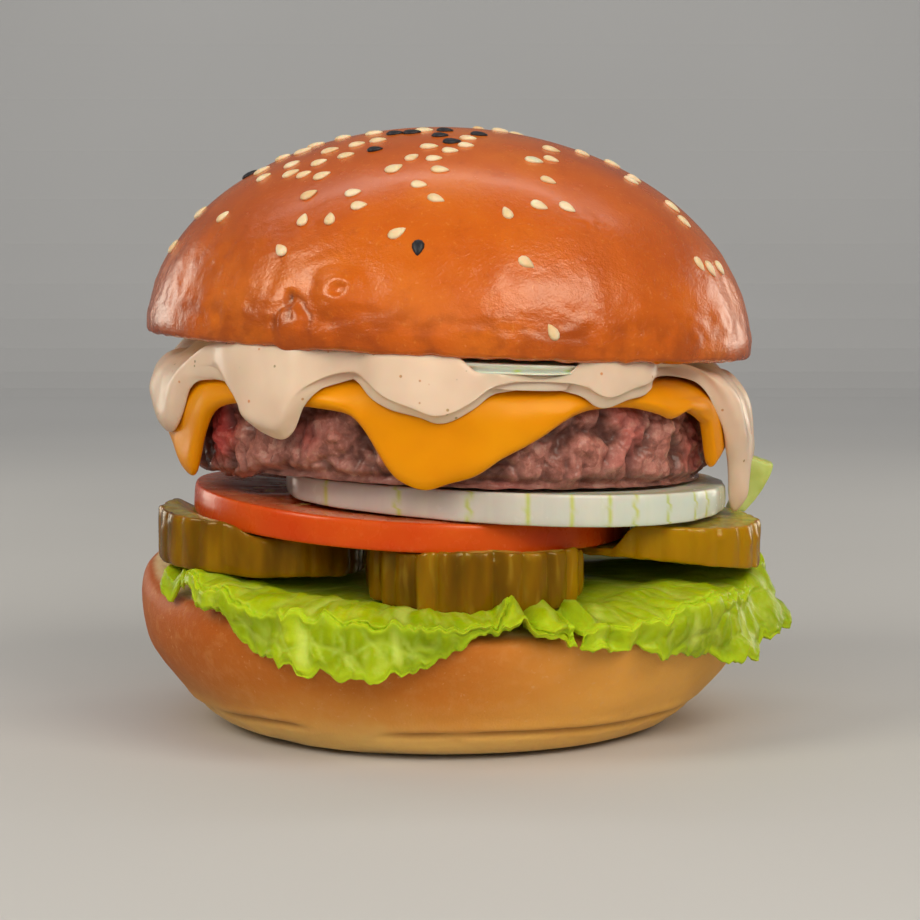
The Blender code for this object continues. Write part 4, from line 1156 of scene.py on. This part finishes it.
def seed_piece(name, seats):
    form = bmesh.new()
    for seat in seats:
        made = bmesh.ops.create_uvsphere(form, u_segments=12, v_segments=8, radius=1.0)["verts"]
        for vertex in made:
            along, across, up = vertex.co
            taper = 1.0 - 0.42 * along - 0.16 * along * along
            thin = 1.0 - 0.25 * along
            vertex.co = Vector((along * SEED_LENGTH, across * SEED_WIDTH * taper, up * SEED_HEIGHT * thin))
        bmesh.ops.transform(form, matrix=Matrix.Scale(MM, 4) @ dome_frame @ seat, verts=made)
    bmesh.ops.recalc_face_normals(form, faces=form.faces)
    return settle(name, mesh_of(form, name), ())


seed_draw = random.Random(12)
pale_seeds = seed_piece("seeds_pale", seeds_seen(PALE_SEEN, seed_draw) + seeds_behind(44, seed_draw))
black_seeds = seed_piece("seeds_black", seeds_seen(BLACK_SEEN, seed_draw) + seeds_behind(7, seed_draw))
hull = Finish("Pale sesame", (0.3, 1.0))
hull.shade = hull.tint(hull.noise(3.0, 2.0), (0.3, 226, 192, 140), (0.7, 248, 228, 192))
hull.relief(hull.noise(0.5, 3.0), 0.08, 0.5)
hull.wear(pale_seeds, Roughness=0.32 + hull.noise(1.0) * 0.2)
soot = Finish("Black sesame")
soot.shade = soot.tint(soot.noise(1.2, 2.0), (0.3, 14, 14, 18), (0.7, 40, 40, 48))
soot.relief(soot.noise(0.4, 3.0), 0.1, 0.6)
soot.wear(black_seeds, Roughness=0.35 + soot.noise(1.0) * 0.2)
print("seeds", len(pale_seeds.data.polygons) // 96, len(black_seeds.data.polygons) // 96)

# %% [markdown]
# ## Floor and light
# The burger stands on a plain pale floor. Two soft boxes high at the left and right make the broad sheens on the
# dome, a wide panel in front fills the layers, and strips behind draw a thin bright outline.

# %% Floor
floor_form = bmesh.new()
bmesh.ops.create_grid(floor_form, x_segments=1, y_segments=1, size=2.0)
bmesh.ops.translate(floor_form, vec=(0.0, -0.8, -0.0004), verts=floor_form.verts)
far_edge = [edge for edge in floor_form.edges if all(vertex.co.y > 1.0 for vertex in edge.verts)]
bmesh.ops.spin(floor_form, geom=far_edge, cent=(0.0, 1.2, 0.6), axis=(1.0, 0.0, 0.0), angle=math.radians(90.0),
               steps=16)
top_edge = [edge for edge in floor_form.edges if all(vertex.co.z > 0.59 for vertex in edge.verts)]
lifted = [part for part in bmesh.ops.extrude_edge_only(floor_form, edges=top_edge)["geom"]
          if isinstance(part, bmesh.types.BMVert)]
bmesh.ops.translate(floor_form, vec=(0.0, 0.0, 1.6), verts=lifted)
floor = placed("floor", mesh_of(floor_form, "floor"))
pale = Finish("Pale floor")
pale.shade = pale.tint(pale.noise(400.0, 2.0), (0.3, 196, 195, 193), (0.7, 202, 201, 199))
pale.wear(floor, Roughness=0.7)
floor.visible_glossy = False                    # a pale floor mirrored in wet food would look grey

# %% Light
WARM = (1.0, 0.93, 0.80)


def soft_box(name, place, width, height, power, colour=(1.0, 1.0, 1.0), aim=(0.0, 0.0, 0.06)):
    """Area light that faces the burger; sizes in metres."""
    light = bpy.data.lights.new(name, 'AREA')
    light.shape, light.size, light.size_y = 'RECTANGLE', width, height
    light.energy, light.color = power, colour
    holder = placed(name, light)
    holder.location = place
    holder.rotation_euler = (Vector(aim) - Vector(place)).to_track_quat('-Z', 'Y').to_euler()
    return holder


soft_box("left box", (-0.57, -0.38, 0.55), 0.34, 0.34, 2.3, WARM)
soft_box("right box", (0.46, -0.50, 0.57), 0.50, 0.38, 3.2, WARM)
soft_box("front panel", (0.0, -1.0, 0.55), 1.0, 0.6, 4.9).visible_glossy = False      # fills, but leaves no sheen
soft_box("rim left", (-0.55, 0.45, 0.17), 0.2, 0.3, 0.7, WARM)
soft_box("backdrop wash", (0.0, 0.75, 1.6), 2.4, 0.4, 11.0, aim=(0.0, 1.9, 0.5))
soft_box("rim right", (0.55, 0.45, 0.17), 0.2, 0.3, 0.7, WARM)
world = bpy.data.worlds.new("studio")
world.use_nodes = True
world.node_tree.nodes["Background"].inputs["Color"].default_value = (0.9, 0.88, 0.86, 1.0)
world.node_tree.nodes["Background"].inputs["Strength"].default_value = 0.17
bpy.context.scene.world = world
print("lights", len(bpy.data.lights))
